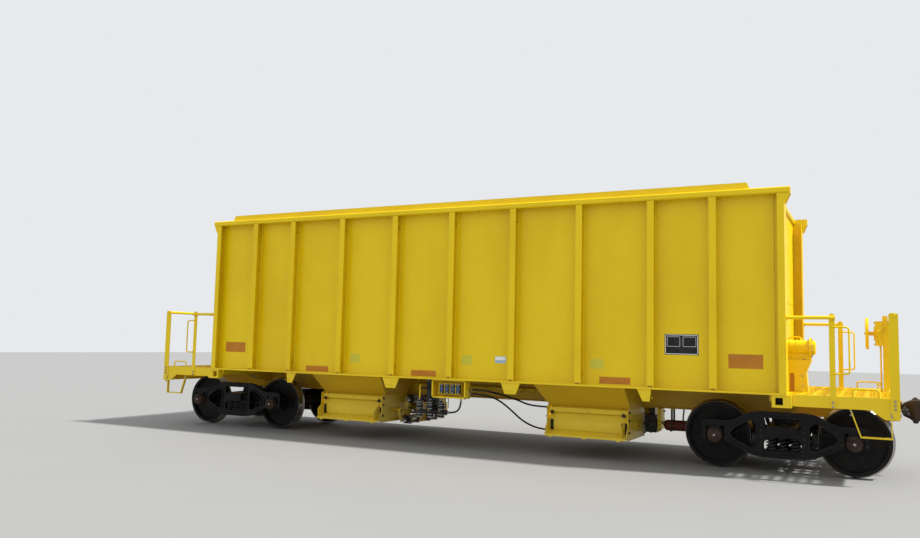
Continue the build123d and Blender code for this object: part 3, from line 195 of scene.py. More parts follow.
def mixColours(tree, amount, first, second):
    node = tree.nodes.new("ShaderNodeMix")
    node.data_type = "RGBA"
    for socket, value in (("Factor", amount), (6, first), (7, second)):
        if isinstance(value, tuple):
            node.inputs[socket].default_value = (*value, 1)
        else:
            tree.links.new(value, node.inputs[socket])
    return node.outputs[2]


def calculate(tree, operation, *values):
    node = tree.nodes.new("ShaderNodeMath")
    node.operation = operation
    for socket, value in zip(node.inputs, values):
        if isinstance(value, (int, float)):
            socket.default_value = value
        else:
            tree.links.new(value, socket)
    return node.outputs[0]


def addBump(tree, shader, height, strength, distance, base=None):
    bump = tree.nodes.new("ShaderNodeBump")
    bump.inputs["Strength"].default_value = strength
    bump.inputs["Distance"].default_value = distance
    tree.links.new(height, bump.inputs["Height"])
    if base is not None:
        tree.links.new(base, bump.inputs["Normal"])
    tree.links.new(bump.outputs["Normal"], shader.inputs["Normal"])
    return bump.outputs["Normal"]


def spread(tree, value, low, high):
    # 0 at low, 1 at high
    node = tree.nodes.new("ShaderNodeMapRange")
    node.inputs["From Min"].default_value = low
    node.inputs["From Max"].default_value = high
    tree.links.new(value, node.inputs["Value"])
    return node.outputs["Result"]


def wornEdges(tree, radius, noise, least, share):
    # share on the sharp edges of a piece where the noise is high, 0 on its faces
    bevel = tree.nodes.new("ShaderNodeBevel")
    bevel.samples = 4
    bevel.inputs["Radius"].default_value = radius
    place = tree.nodes.new("ShaderNodeNewGeometry")
    dot = tree.nodes.new("ShaderNodeVectorMath")
    dot.operation = "DOT_PRODUCT"
    tree.links.new(bevel.outputs["Normal"], dot.inputs[0])
    tree.links.new(place.outputs["Normal"], dot.inputs[1])
    edge = calculate(tree, "SUBTRACT", 1, dot.outputs["Value"])
    worn = calculate(tree, "GREATER_THAN", calculate(tree, "MULTIPLY", edge, noise), least)
    return calculate(tree, "MULTIPLY", worn, share)


# Yellow enamel: gloss, a soft waviness of the plate, dust towards the foot, edges rubbed here and there

enamelSettings = {
    "colour": (0.78, 0.545, 0.003),
    "deeper": (0.72, 0.485, 0.002),
    "faded": (0.79, 0.57, 0.006),
    "dust": (0.40, 0.30, 0.12),
    "rubbed": (0.56, 0.37, 0.03),
    "roughness": (0.22, 0.40),
}


# the hopper's slopes, pocket walls, hoods and centre sill: a darker, more orange yellow, painted shade for
# the shade under the body
slopeShadeSettings = {
    "colour": (0.70, 0.43, 0.003),
    "deeper": (0.62, 0.37, 0.003),
    "faded": (0.74, 0.48, 0.006),
    "dust": (0.34, 0.24, 0.11),
    "rubbed": (0.40, 0.28, 0.10),
    "roughness": (0.30, 0.50),
}


def makeEnamel(name, settings, wave, dustShare, rubbing):
    material, tree, shader = newMaterial(name)
    broad = noiseAt(tree, 0.9, detail=3, stretch=(1, 1, 0.55))
    cloudy = ramp(tree, broad, (0.3, settings["deeper"]), (0.55, settings["colour"]),
                  (0.78, settings["faded"]))
    runs = noiseAt(tree, 9, detail=5, stretch=(1, 1, 0.06))
    streaks = ramp(tree, runs, (0.52, (0.0,)), (0.78, (0.14,)))
    colour = mixColours(tree, streaks, cloudy, settings["faded"])
    grime = noiseAt(tree, 3.5, detail=8, roughness=0.7)
    low = calculate(tree, "SUBTRACT", 1, spread(tree, placeAxes(tree)[2], 0.35, 1.5))
    dusty = calculate(tree, "MULTIPLY", low, calculate(tree, "MULTIPLY", grime, dustShare * 1.5))
    colour = mixColours(tree, dusty, colour, settings["dust"])
    worn = wornEdges(tree, 0.004, noiseAt(tree, 26, detail=7, roughness=0.75), 0.24, rubbing)
    colour = mixColours(tree, worn, colour, settings["rubbed"])
    tree.links.new(colour, shader.inputs["Base Color"])
    smooth, rough = settings["roughness"]
    shine = ramp(tree, noiseAt(tree, 6, detail=5), (0.3, (smooth,)), (0.75, (rough,)))
    shine = mixColours(tree, dusty, shine, (0.8, 0.8, 0.8))
    tree.links.new(shine, shader.inputs["Roughness"])
    shader.inputs["Specular IOR Level"].default_value = 0.25
    shader.inputs["Coat Weight"].default_value = 0.06
    shader.inputs["Coat Roughness"].default_value = 0.12
    waves = addBump(tree, shader, noiseAt(tree, 1.7, detail=1, stretch=(1, 1, 0.6)), wave, 0.035)
    addBump(tree, shader, noiseAt(tree, 140, detail=2), 0.08, 0.002, waves)
    return material


# Castings, plain metals, rubber and films: one recipe with its own colours
# look: colour, patches, dust and its share, worn edges and their share, smoothest and roughest
# then how metallic, the grain's scale and depth, and the specular level where it isn't the usual one

finishSettings = {
    # castBlack's pale bluish-grey edges are partly wear and partly a painted highlight along the frames'
    # edges
    "castBlack": [((0.0035, 0.0035, 0.0045), (0.008, 0.0075, 0.008), (0.03, 0.026, 0.022), 0.16,
                   (0.10, 0.105, 0.11), 0.5, (0.24, 0.44)), 0.0, 60, 0.12, 0.2],
    "springSteel": [((0.014, 0.014, 0.016), (0.05, 0.045, 0.04), (0.10, 0.08, 0.06), 0.3,
                     (0.2, 0.2, 0.2), 0.3, (0.3, 0.5)), 0.4, 90, 0.05],
    "bearingBrown": [((0.030, 0.015, 0.011), (0.055, 0.026, 0.016), (0.16, 0.11, 0.075), 0.35,
                      (0.2, 0.15, 0.12), 0.4, (0.38, 0.62)), 0.3, 70, 0.06],
    "brightBolt": [((0.56, 0.55, 0.52), (0.38, 0.35, 0.31), (0.2, 0.16, 0.12), 0.2,
                    (0.7, 0.7, 0.7), 0.2, (0.28, 0.5)), 0.9, 80, 0.03],
    "darkBolt": [((0.03, 0.028, 0.026), (0.07, 0.05, 0.04), (0.12, 0.09, 0.07), 0.3,
                  (0.25, 0.25, 0.25), 0.4, (0.35, 0.6)), 0.5, 80, 0.04],
    "polishedRod": [((0.62, 0.62, 0.63), (0.5, 0.5, 0.51), (0.2, 0.18, 0.15), 0.12,
                     (0.8, 0.8, 0.8), 0.1, (0.12, 0.24)), 1.0, 120, 0.01],
    "blackEnamel": [((0.012, 0.012, 0.013), (0.022, 0.022, 0.022), (0.12, 0.1, 0.075), 0.25,
                     (0.12, 0.12, 0.12), 0.3, (0.3, 0.5)), 0.0, 90, 0.03],
    "brass": [((0.62, 0.40, 0.12), (0.42, 0.26, 0.09), (0.22, 0.16, 0.1), 0.15,
               (0.8, 0.6, 0.3), 0.2, (0.25, 0.42)), 1.0, 90, 0.02],
    "platedSteel": [((0.60, 0.60, 0.58), (0.45, 0.44, 0.42), (0.22, 0.18, 0.14), 0.15,
                     (0.8, 0.8, 0.8), 0.2, (0.2, 0.36)), 1.0, 100, 0.02],
    "hoseRubber": [((0.010, 0.010, 0.011), (0.018, 0.018, 0.018), (0.09, 0.075, 0.06), 0.25,
                    None, 0.0, (0.42, 0.6)), 0.0, 150, 0.05],
    "valveBlue": [((0.02, 0.08, 0.22), (0.03, 0.1, 0.26), (0.14, 0.12, 0.1), 0.25,
                   (0.1, 0.16, 0.28), 0.3, (0.3, 0.45)), 0.0, 90, 0.02],
    "valveGrey": [((0.10, 0.11, 0.125), (0.07, 0.075, 0.085), (0.3, 0.26, 0.2), 0.25,
                   (0.8, 0.8, 0.8), 0.1, (0.32, 0.5)), 0.0, 90, 0.02],
    "primerRed": [((0.16, 0.028, 0.016), (0.10, 0.02, 0.014), (0.16, 0.11, 0.08), 0.3,
                   (0.3, 0.12, 0.08), 0.3, (0.5, 0.7)), 0.0, 60, 0.05],
    "gripRed": [((0.40, 0.02, 0.015), (0.32, 0.02, 0.015), (0.2, 0.12, 0.08), 0.2,
                 (0.5, 0.1, 0.08), 0.2, (0.35, 0.5)), 0.0, 90, 0.02],
    "reflectorOrange": [((0.52, 0.19, 0.006), (0.44, 0.15, 0.005), (0.4, 0.26, 0.1), 0.2,
                         None, 0.0, (0.22, 0.34)), 0.0, 400, 0.04],
    "stencilBlack": [((0.008, 0.008, 0.010), (0.016, 0.016, 0.018), (0.2, 0.16, 0.08), 0.12,
                      None, 0.0, (0.35, 0.5)), 0.0, 160, 0.02],
    "stencilWhite": [((0.80, 0.80, 0.78), (0.70, 0.70, 0.66), (0.5, 0.42, 0.25), 0.15,
                      None, 0.0, (0.35, 0.5)), 0.0, 160, 0.02],
    "filmBlue": [((0.30, 0.46, 0.60), (0.36, 0.50, 0.62), (0.4, 0.38, 0.3), 0.15,
                  None, 0.0, (0.25, 0.4)), 0.0, 200, 0.02],
    "filmGreen": [((0.60, 0.54, 0.03), (0.55, 0.51, 0.04), (0.4, 0.34, 0.1), 0.2,
                   None, 0.0, (0.28, 0.42)), 0.0, 200, 0.02],
    # painted shade: the dark orange of a shaded recess in the yellow
    "paintedShadeOrange": [((0.42, 0.16, 0.003), (0.36, 0.13, 0.003), (0.4, 0.24, 0.08), 0.2,
                    None, 0.0, (0.3, 0.5)), 0.0, 90, 0.03],
    "couplerBrown": [((0.040, 0.020, 0.016), (0.026, 0.014, 0.012), (0.14, 0.09, 0.06), 0.3,
                      (0.20, 0.17, 0.15), 0.5, (0.4, 0.62)), 0.0, 70, 0.10],
    # painted shade: near black for hollows that are dark only from shade
    "holeShadeBlack": [((0.004, 0.004, 0.004), (0.008, 0.007, 0.006), (0.04, 0.03, 0.02), 0.2,
                  None, 0.0, (0.7, 0.9)), 0.0, 60, 0.02],
}


def dustedMetal(tree, plain, patch, dust, dustShare, edge, edgeShare, roughness):
    # colour and roughness of one look, ready to go to the shader or into a mask
    base = ramp(tree, noiseAt(tree, 4, detail=6), (0.35, plain), (0.7, patch))
    dusty = ramp(tree, noiseAt(tree, 7, detail=8, roughness=0.7), (0.45, (0.0,)), (0.8, (dustShare,)))
    colour = mixColours(tree, dusty, base, dust)
    if edge:
        worn = wornEdges(tree, 0.005, noiseAt(tree, 30, detail=5), 0.12, edgeShare)
        colour = mixColours(tree, worn, colour, edge)
    smooth, rough = roughness
    shine = ramp(tree, noiseAt(tree, 12, detail=6), (0.3, (smooth,)), (0.75, (rough,)))
    return colour, shine


def makeFinish(name, look, metallic, grain, depth, specular=0.35):
    material, tree, shader = newMaterial(name)
    colour, shine = dustedMetal(tree, *look)
    tree.links.new(colour, shader.inputs["Base Color"])
    tree.links.new(shine, shader.inputs["Roughness"])
    shader.inputs["Metallic"].default_value = metallic
    shader.inputs["Specular IOR Level"].default_value = specular
    addBump(tree, shader, noiseAt(tree, grain, detail=4), depth, 0.01)
    return material


# Wheels: dark plate, bright running band and flange, turned rings, brown bearing outboard

wheelSettings = {
    "bandFrom": 0.4505,
    "bearingFrom": 0.915,
    "ringPitch": 900,
    "plate": ((0.005, 0.005, 0.005), (0.014, 0.010, 0.009), (0.05, 0.038, 0.028), 0.28,
              (0.10, 0.10, 0.10), 0.4, (0.4, 0.68)),
    "band": ((0.44, 0.43, 0.42), (0.32, 0.30, 0.28), (0.2, 0.15, 0.11), 0.25,
             (0.6, 0.6, 0.6), 0.2, (0.22, 0.42)),
}


def makeWheelFinish(settings):
    material, tree, shader = newMaterial("wheelSteel")
    x, y, z = placeAxes(tree)
    fromBogie = calculate(tree, "SUBTRACT", calculate(tree, "ABSOLUTE", x), bogieX)
    across = calculate(tree, "SUBTRACT", calculate(tree, "ABSOLUTE", fromBogie), halfBase)
    up = calculate(tree, "SUBTRACT", z, axleZ)
    squares = [calculate(tree, "MULTIPLY", leg, leg) for leg in (across, up)]
    radius = calculate(tree, "SQRT", calculate(tree, "ADD", *squares))
    outboard = calculate(tree, "ABSOLUTE", y)
    plate, plateShine = dustedMetal(tree, *settings["plate"])
    band, bandShine = dustedMetal(tree, *settings["band"])
    brown, brownShine = dustedMetal(tree, *finishSettings["bearingBrown"][0])
    turned = calculate(tree, "SINE", calculate(tree, "MULTIPLY", radius, settings["ringPitch"]))
    rings = calculate(tree, "MULTIPLY", turned, 0.5)
    running = calculate(tree, "GREATER_THAN", radius, settings["bandFrom"])
    bearing = calculate(tree, "GREATER_THAN", outboard, settings["bearingFrom"])
    colour = mixColours(tree, bearing, mixColours(tree, running, plate, band), brown)
    shine = mixColours(tree, bearing, mixColours(tree, running, plateShine, bandShine), brownShine)
    tree.links.new(colour, shader.inputs["Base Color"])
    tree.links.new(shine, shader.inputs["Roughness"])
    tree.links.new(running, shader.inputs["Metallic"])
    shader.inputs["Specular IOR Level"].default_value = 0.18
    rough = addBump(tree, shader, noiseAt(tree, 45, detail=5), 0.12, 0.01)
    addBump(tree, shader, rings, 0.06, 0.002, rough)
    return material


# Gate cylinders: black square heads, drawn barrels, brass port fittings

cylinderSettings = {
    "middleY": 0.341,
    "innerShift": 0.12,
    "innerAbove": 0.5,
    "barrelHalf": 0.115,
    "portTo": 1.3175,
    "head": ((0.010, 0.010, 0.011), (0.02, 0.02, 0.02), (0.10, 0.08, 0.06), 0.25,
             (0.12, 0.12, 0.12), 0.4, (0.28, 0.48)),
    "barrel": ((0.52, 0.47, 0.38), (0.40, 0.35, 0.27), (0.22, 0.17, 0.12), 0.35,
               (0.6, 0.55, 0.45), 0.1, (0.24, 0.4)),
}


def makeCylinderFinish(settings):
    material, tree, shader = newMaterial("cylinderBarrel")
    x, y, z = placeAxes(tree)
    isInner = calculate(tree, "GREATER_THAN", z, settings["innerAbove"])
    middle = calculate(tree, "SUBTRACT", settings["middleY"],
                       calculate(tree, "MULTIPLY", isInner, settings["innerShift"]))
    along = calculate(tree, "ABSOLUTE", calculate(tree, "SUBTRACT", calculate(tree, "ABSOLUTE", y), middle))
    isHead = calculate(tree, "GREATER_THAN", along, settings["barrelHalf"])
    isPort = calculate(tree, "LESS_THAN", calculate(tree, "ABSOLUTE", x), settings["portTo"])
    head, headShine = dustedMetal(tree, *settings["head"])
    barrel, barrelShine = dustedMetal(tree, *settings["barrel"])
    brass, brassShine = dustedMetal(tree, *finishSettings["brass"][0])
    colour = mixColours(tree, isPort, mixColours(tree, isHead, barrel, head), brass)
    shine = mixColours(tree, isPort, mixColours(tree, isHead, barrelShine, headShine), brassShine)
    tree.links.new(colour, shader.inputs["Base Color"])
    tree.links.new(shine, shader.inputs["Roughness"])
    bare = calculate(tree, "MAXIMUM", calculate(tree, "SUBTRACT", 1, isHead), isPort)
    tree.links.new(bare, shader.inputs["Metallic"])
    addBump(tree, shader, noiseAt(tree, 110, detail=3, stretch=(1, 0.1, 1)), 0.05, 0.004)
    return material


paint = {
    "body": makeEnamel("yellowBody", enamelSettings, wave=0.3, dustShare=0.12, rubbing=0.04),
    "trim": makeEnamel("yellowTrim", enamelSettings, wave=0.08, dustShare=0.2, rubbing=0.14),
    "under": makeEnamel("yellowUnder", enamelSettings, wave=0.1, dustShare=0.3, rubbing=0.16),
    # the slope paint is darker and more orange: painted shade
    "slope": makeEnamel("yellowSlopePaintedShade", slopeShadeSettings, wave=0.2, dustShare=0.3, rubbing=0.10),
}
finish = {name: makeFinish(name, *settings) for name, settings in finishSettings.items()}
finish["wheelSteel"] = makeWheelFinish(wheelSettings)
finish["cylinderBarrel"] = makeCylinderFinish(cylinderSettings)
print("stage: materials", len(paint) + len(finish))

for hose in hoses:
    hose.data.materials.append(finish["hoseRubber"])

nodePaint = {
    "body": ["side_sheets", "end_sheets", "side_posts", "corner_posts", "side_chords", "end_chords"],
    "trim": ["platform_channels", "platform_cross_members", "platform_gratings", "platform_railings",
             "end_ladders", "uncoupling_levers", "hand_brake", "brake_cylinder", "side_sills",
             "control_cabinet", "covered_box", "body_bolsters"],
    "under": ["discharge_boxes", "discharge_chutes", "air_main"],
    "slope": ["slope_sheets", "pocket_side_slopes", "pocket_end_walls", "pocket_hoods", "centre_sill"],
}
nodeFinish = {
    "gate_cylinders": finish["cylinderBarrel"],
    "couplers": finish["couplerBrown"],
    "air_valves": finish["blackEnamel"],
    "load_valve": finish["blackEnamel"],
}
for kind, names in nodePaint.items():
    nodeFinish.update({name: paint[kind] for name in names})
nodeStarts = {
    "wheelset_": finish["wheelSteel"],
    "bogie_": finish["castBlack"],
    "hose_": finish["hoseRubber"],
    "rod_": finish["polishedRod"],
    "gate_": paint["under"],
}
for name, node in nodes.items():
    starts = [material for start, material in nodeStarts.items() if name.startswith(start)]
    if name in nodeFinish or starts:
        node.data.materials.clear()
        node.data.materials.append(nodeFinish[name] if name in nodeFinish else starts[0])


# Mesh helpers: every piece is built in one mesh and rides on one body

def turnTo(axis):
    return Vector(axis).to_track_quat("Z", "Y").to_matrix().to_4x4()


def around(count, start=0):
    # cosine and sine of each of count equal steps round a circle, from start degrees on
    angles = [math.radians(start) + 2 * math.pi * k / count for k in range(count)]
    return [(math.cos(a), math.sin(a)) for a in angles]


def joinRings(mesh, rings):
    # walls from ring to ring; a ring of one corner is a point
    for lower, upper in zip(rings, rings[1:]):
        count = max(len(lower), len(upper))
        for k in range(count):
            n = (k + 1) % count
            if len(lower) == 1:
                mesh.faces.new((lower[0], upper[n], upper[k]))
            elif len(upper) == 1:
                mesh.faces.new((lower[k], lower[n], upper[0]))
            else:
                mesh.faces.new((lower[k], lower[n], upper[n], upper[k]))


def addTurned(mesh, place, axis, profile, facets=16, hollow=False):
    # a turned part: (distance along the axis, radius) from foot to tip; hollow joins the ends
    matrix = Matrix.Translation(place) @ turnTo(axis)
    rings = []
    for along, radius in profile:
        spots = [(radius * c, radius * s, along) for c, s in around(facets if radius else 1)]
        rings.append([mesh.verts.new(matrix @ Vector(spot)) for spot in spots])
    joinRings(mesh, rings + rings[:1] if hollow else rings)
    if not hollow:
        if len(rings[0]) > 1:
            mesh.faces.new(list(reversed(rings[0])))
        if len(rings[-1]) > 1:
            mesh.faces.new(rings[-1])


def addCollar(mesh, place, axis, bore, outside, facets):
    # a turned ring: its bore, and its outside from foot to tip
    addTurned(mesh, place, axis,
              [(outside[0][0], bore), *outside, (outside[-1][0], bore)], facets, hollow=True)


def addBolt(mesh, place, axis, across=0.03, stud=True):
    # washer, chamfered hexagon, and the stud's end
    radius = across / 2
    height = across * 0.6
    spot = Vector(place)
    way = Vector(axis).normalized()
    washer = across * 0.12
    addTurned(mesh, spot, axis, [(0, radius * 1.25), (washer, radius * 1.2)], 12)
    addTurned(mesh, spot + way * washer, axis,
              [(0, radius), (height * 0.8, radius), (height, radius * 0.84)], 6)
    if stud:
        addTurned(mesh, spot + way * height, axis, [(0, radius * 0.5), (height * 0.45, radius * 0.5),
                                                    (height * 0.55, radius * 0.4)], 8)


def addHull(mesh, points):
    made = [mesh.verts.new(point) for point in points]
    bmesh.ops.convex_hull(mesh, input=made)


def addBlock(mesh, low, high, bevel=0.003, turn=None):
    # a block with chamfered edges, turned about its middle
    middle = (Vector(low) + Vector(high)) / 2
    half = [abs(b - a) / 2 for a, b in zip(low, high)]
    bevel = min([bevel] + [h * 0.45 for h in half])
    points = []
    for corner in range(8):
        sign = [1 if corner & (1 << k) else -1 for k in range(3)]
        for full in range(3):
            spot = Vector([sign[k] * (half[k] - (0 if k == full else bevel)) for k in range(3)])
            points.append(middle + (turn @ spot if turn else spot))
    addHull(mesh, points)


def addPlate(mesh, outline, thickness):
    # a flat plate from its outline, carried along the vector thickness
    lower = [mesh.verts.new(point) for point in outline]
    upper = [mesh.verts.new(Vector(point) + Vector(thickness)) for point in outline]
    mesh.faces.new(list(reversed(lower)))
    mesh.faces.new(upper)
    joinRings(mesh, [lower, upper])


def addSwept(mesh, points, radius, facets=8, start=None):
    # a round bar along points, kept from twisting by carrying one cross direction on
    spots = [Vector(p) for p in points]
    rings = []
    across = Vector(start) if start else (spots[1] - spots[0]).normalized().orthogonal()
    for k, spot in enumerate(spots):
        along = (spots[min(k + 1, len(spots) - 1)] - spots[max(k - 1, 0)]).normalized()
        across = (across - along * across.dot(along)).normalized()
        other = along.cross(across)
        rings.append([mesh.verts.new(spot + (across * c + other * s) * radius) for c, s in around(facets)])
    joinRings(mesh, rings)
    mesh.faces.new(list(reversed(rings[0])))
    mesh.faces.new(rings[-1])


def addRod(mesh, start, end, radius, facets=12):
    # a straight bar with chamfered ends
    span = Vector(end) - Vector(start)
    length = span.length
    chamfer = min(radius * 0.25, length * 0.2)
    addTurned(mesh, start, span, [(0, radius - chamfer), (chamfer, radius), (length - chamfer, radius),
                                  (length, radius - chamfer)], facets)


def makePiece(name, mesh, material, body="root", smooth=38, replaces=()):
    bmesh.ops.recalc_face_normals(mesh, faces=mesh.faces)
    data = bpy.data.meshes.new(name)
    mesh.to_mesh(data)
    mesh.free()
    data.materials.append(material)
    for polygon in data.polygons:
        polygon.use_smooth = True
    data.set_sharp_from_angle(angle=math.radians(smooth))
    piece = placeObject(name, data)
    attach(piece, body)
    for node in replaces:
        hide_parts(node)


def makePipe(name, points, radius, material):
    # a bent steel pipe
    pipe = makeCurve(name, points, radius, 3, 8)
    pipe.data.materials.append(material)
    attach(pipe, "root")


# Bogie springs: nested coils between seats
# rows: distance inboard of the journal, top of the coils, steps to a turn

springSettings = {
    "pitch": 0.15,
    "foot": 0.326,
    "rows": [(0, 0.506, 22), (0.128, 0.486, 14), (0.256, 0.472, 14)],
    "outer": {"radius": 0.057, "bar": 0.0125, "turns": 4.6},
    "inner": {"radius": 0.031, "bar": 0.0075, "turns": 6.5},
    "cap": [(0, 0.022), (0.012, 0.020), (0.012, 0)],
}


def addCoil(mesh, place, foot, top, steps, radius, bar, turns):
    count = int(turns * steps)
    points = []
    for k in range(count + 1):
        share = k / count
        # the end turns lie flat, the middle ones climb
        rise = min(max((share * turns - 0.6) / (turns - 1.2), 0), 1)
        angle = 2 * math.pi * turns * share
        height = foot + bar + (top - foot - 2 * bar) * rise
        points.append((place[0] + radius * math.cos(angle), place[1] + radius * math.sin(angle), height))
    addSwept(mesh, points, bar, 8, start=(0, 0, 1))


def makeSprings(settings, name, end):
    mesh = bmesh.new()
    foot = settings["foot"]
    for side in sides:
        for inboard, top, steps in settings["rows"]:
            for step in (-1, 0, 1):
                place = (end * bogieX + step * settings["pitch"], side * (journalY - inboard))
                addCoil(mesh, place, foot, top, steps, **settings["outer"])
                addCoil(mesh, place, foot, top, steps * 2 // 3, **settings["inner"])
                for z, way in ((foot, 1), (top, -1)):
                    addTurned(mesh, (*place, z), (0, 0, way), settings["cap"], 14)
    makePiece(name + "_coils", mesh, finish["springSteel"], name[:7], replaces=(name,))


for end, name in ((-1, "bogie_a_springs"), (1, "bogie_b_springs")):
    makeSprings(springSettings, name, end)


# Side frames: wedges, column bolts, ribs, brake beam pockets, adapters over the bearings

frameSettings = {
    "faceY": 1.048,
    "wedge": [(0.003, 0.47), (0.042, 0.44), (0.042, 0.655), (0.003, 0.60)],
    "columnX": 0.245,
    "columnBoltsX": 0.275,
    "columnBoltsZ": (0.42, 0.50, 0.58, 0.66),
    "ribs": [(0.585, -0.42), (0.330, 0.50)],
    "toeBolts": 0.147,
    "bearingRadius": 0.100,
    "bearingGap": 0.006,
    "adapterThick": 0.017,
    "adapterTop": 0.612,
    "seats": [(0.128, 0.484), (0.256, 0.470)],
    # pads across the frame: half length, distance from the middle from and to, z from and to, bevel
    "pads": [
        # tension member and the blank cast panel
        (0.10, 1.042, 1.051, 0.785, 0.828, 0.003),
        (0.19, 1.036, 1.050, 0.232, 0.262, 0.003),
        # spring seat with its upstands, the bolster's lip over the coils
        (0.225, 0.685, 1.078, 0.306, 0.327, 0.004),
        (0.225, 0.685, 0.693, 0.326, 0.350, 0.003),
        (0.185, 1.115, 1.129, 0.535, 0.628, 0.006),
        # side bearing cage on the bolster
        (0.13, 0.575, 0.695, 0.655, 0.700, 0.006),
    ],
    "roller": [(0, 0.034), (0.003, 0.037), (0.083, 0.037), (0.086, 0.034)],
}


def addAdapter(mesh, x, y, settings):
    # a saddle over the upper part of the bearing, under the frame's jaw
    inner = settings["bearingRadius"] + settings["bearingGap"]
    outer = inner + settings["adapterThick"]
    angles = [math.radians(a) for a in range(25, 156, 10)]
    for low, high in ((y - 0.072, y - 0.048), (y + 0.048, y + 0.072)):
        outline = [(x + inner * math.cos(a), low, axleZ + inner * math.sin(a)) for a in angles]
        outline += [(x + outer * math.cos(a), low, min(axleZ + outer * math.sin(a), settings["adapterTop"]))
                    for a in reversed(angles)]
        addPlate(mesh, outline, (0, high - low, 0))


def makeFrameGear(settings, body, end):
    gear = bmesh.new()
    bolts = bmesh.new()
    centre = end * bogieX
    for side in sides:
        y = side * journalY
        face = side * settings["faceY"]
        out = (0, side, 0)
        for half, near, far, foot, top, bevel in settings["pads"]:
            addBlock(gear, (centre - half, side * near, foot), (centre + half, side * far, top), bevel)
        for way in (-1, 1):
            # friction wedge between the bolster and the column
            x = centre + way * 0.2
            addHull(gear, [(x + way * dx, y + dy, z) for dy in (-0.06, 0.06) for dx, z in settings["wedge"]])
            # wear plate on the column, with its bolts outside
            column = centre + way * settings["columnX"]
            addBlock(gear, (column - 0.004, y - 0.058, 0.40), (column + 0.004, y + 0.058, 0.70), 0.002)
            for z in settings["columnBoltsZ"]:
                addBolt(bolts, (centre + way * settings["columnBoltsX"], face - side * 0.004, z), out, 0.026)
            axle = centre + way * halfBase
            addAdapter(gear, axle, y, settings)
            # stiffening ribs on the arms, pedestal toes tied by a bolt
            for z, lean in settings["ribs"]:
                arm = Matrix.Rotation(-way * lean, 3, "Y")
                spot = Vector((centre + way * 0.52, face - side * 0.008, z))
                half = Vector((0.11, 0.006, 0.006))
                addBlock(gear, spot - half, spot + half, 0.003, arm)
            for jaw in (-1, 1):
                addBolt(bolts, (axle + jaw * settings["toeBolts"], face - side * 0.002, 0.455), out, 0.022)
            # brake beam guide pocket on the inner face
            addBlock(gear, (centre + way * 0.30, side * 0.93, 0.335),
                     (centre + way * 0.44, side * 0.958, 0.385), 0.004)
        # round seats over the coils, under the bolster
        for step in (-1, 0, 1):
            x = centre + step * springSettings["pitch"]
            addTurned(gear, (x, y, 0.506), (0, 0, -1), [(0, 0.066), (0.010, 0.064)], 18)
            for inboard, foot in settings["seats"]:
                addTurned(gear, (x, y - side * inboard, foot), (0, 0, 1), [(0, 0.064), (0.026, 0.066)], 18)
        # the side bearing's two rollers between their walls
        for step in (-1, 1):
            addTurned(gear, (centre + step * 0.055, side * 0.592, 0.712), out, settings["roller"], 18)
            x = centre + step * 0.115
            addBlock(gear, (x - 0.006, side * 0.582, 0.70), (x + 0.006, side * 0.688, 0.742), 0.002)
    makePiece(body + "_frame_gear", gear, finish["castBlack"], body)
    makePiece(body + "_frame_bolts", bolts, finish["darkBolt"], body)


# Brake rigging: two truss beams with heads and shoes, levers and a bottom rod between them

riggingSettings = {
    "treadRadius": 0.457,
    "shoeGap": 0.007,
    "shoeThick": 0.042,
    "shoeSpan": 26,
    "shoeWidth": 0.080,
    "wheelY": 0.775,
    "beamX": 0.345,
    "beamZ": 0.400,
    "beamHalf": 0.86,
    "strutX": 0.225,
}


def addShoe(mesh, centre, way, side, settings, thickFrom, thickTo, span, width):
    # a curved block against the tread, on the bolster's side of the wheel
    axle = centre + way * halfBase
    low = side * settings["wheelY"] - width / 2
    angles = [math.radians(180 - 10 - span / 2 + k * span / 6) for k in range(7)]
    outline = []
    for thick, run in ((thickFrom, angles), (thickTo, angles[::-1])):
        radius = settings["treadRadius"] + settings["shoeGap"] + thick
        outline += [(axle + way * radius * math.cos(a), low, axleZ - radius * math.sin(a)) for a in run]
    addPlate(mesh, outline, (0, width, 0))


def makeRigging(settings, body, end):
    beams = bmesh.new()
    shoes = bmesh.new()
    centre = end * bogieX
    z, half = settings["beamZ"], settings["beamHalf"]
    thick, span, width = settings["shoeThick"], settings["shoeSpan"], settings["shoeWidth"]
    for way in (-1, 1):
        x = centre + way * settings["beamX"]
        # compression channel, tension rod behind it, strut in the middle
        for dz in (-0.032, 0.032):
            addBlock(beams, (x - 0.022, -half, z + dz - 0.005), (x + 0.022, half, z + dz + 0.005), 0.002)
        addBlock(beams, (x + way * 0.014, -half, z - 0.03), (x + way * 0.022, half, z + 0.03), 0.002)
        strut = centre + way * settings["strutX"]
        rod = [(x, 0.84, z), (x - way * 0.03, 0.70, z), (strut, 0.06, z)]
        addSwept(beams, [(a, -b, c) for a, b, c in rod] + rod[::-1], 0.016, 8)
        addBlock(beams, (min(x, strut), -0.035, z - 0.026), (max(x, strut), 0.035, z + 0.026), 0.006)
        for side in sides:
            # the guide foot that slides in the side frame's pocket
            addBlock(beams, (x - 0.04, side * 0.85, z - 0.03), (x + 0.04, side * 0.925, z - 0.012), 0.003)
            addShoe(shoes, centre, way, side, settings, 0, thick, span, width)
            addShoe(beams, centre, way, side, settings, thick + 0.001, thick + 0.020, span - 6, width - 0.012)
        # live and dead levers, leaning over the bolster
        lean = Matrix.Rotation(way * 0.30, 3, "Y")
        spot = Vector((centre + way * 0.27, 0.09, 0.50))
        reach = Vector((0.028, 0.010, 0.20))
        addBlock(beams, spot - reach, spot + reach, 0.004, lean)
        addTurned(beams, (centre + way * 0.30, 0.07, z), (0, 1, 0), [(0, 0.020), (0.04, 0.020)], 12)
    addRod(beams, (centre - 0.30, 0.09, 0.325), (centre + 0.30, 0.09, 0.325), 0.018, 10)
    makePiece(body + "_brake_beams", beams, finish["castBlack"], body)
    makePiece(body + "_brake_shoes", shoes, finish["darkBolt"], body)


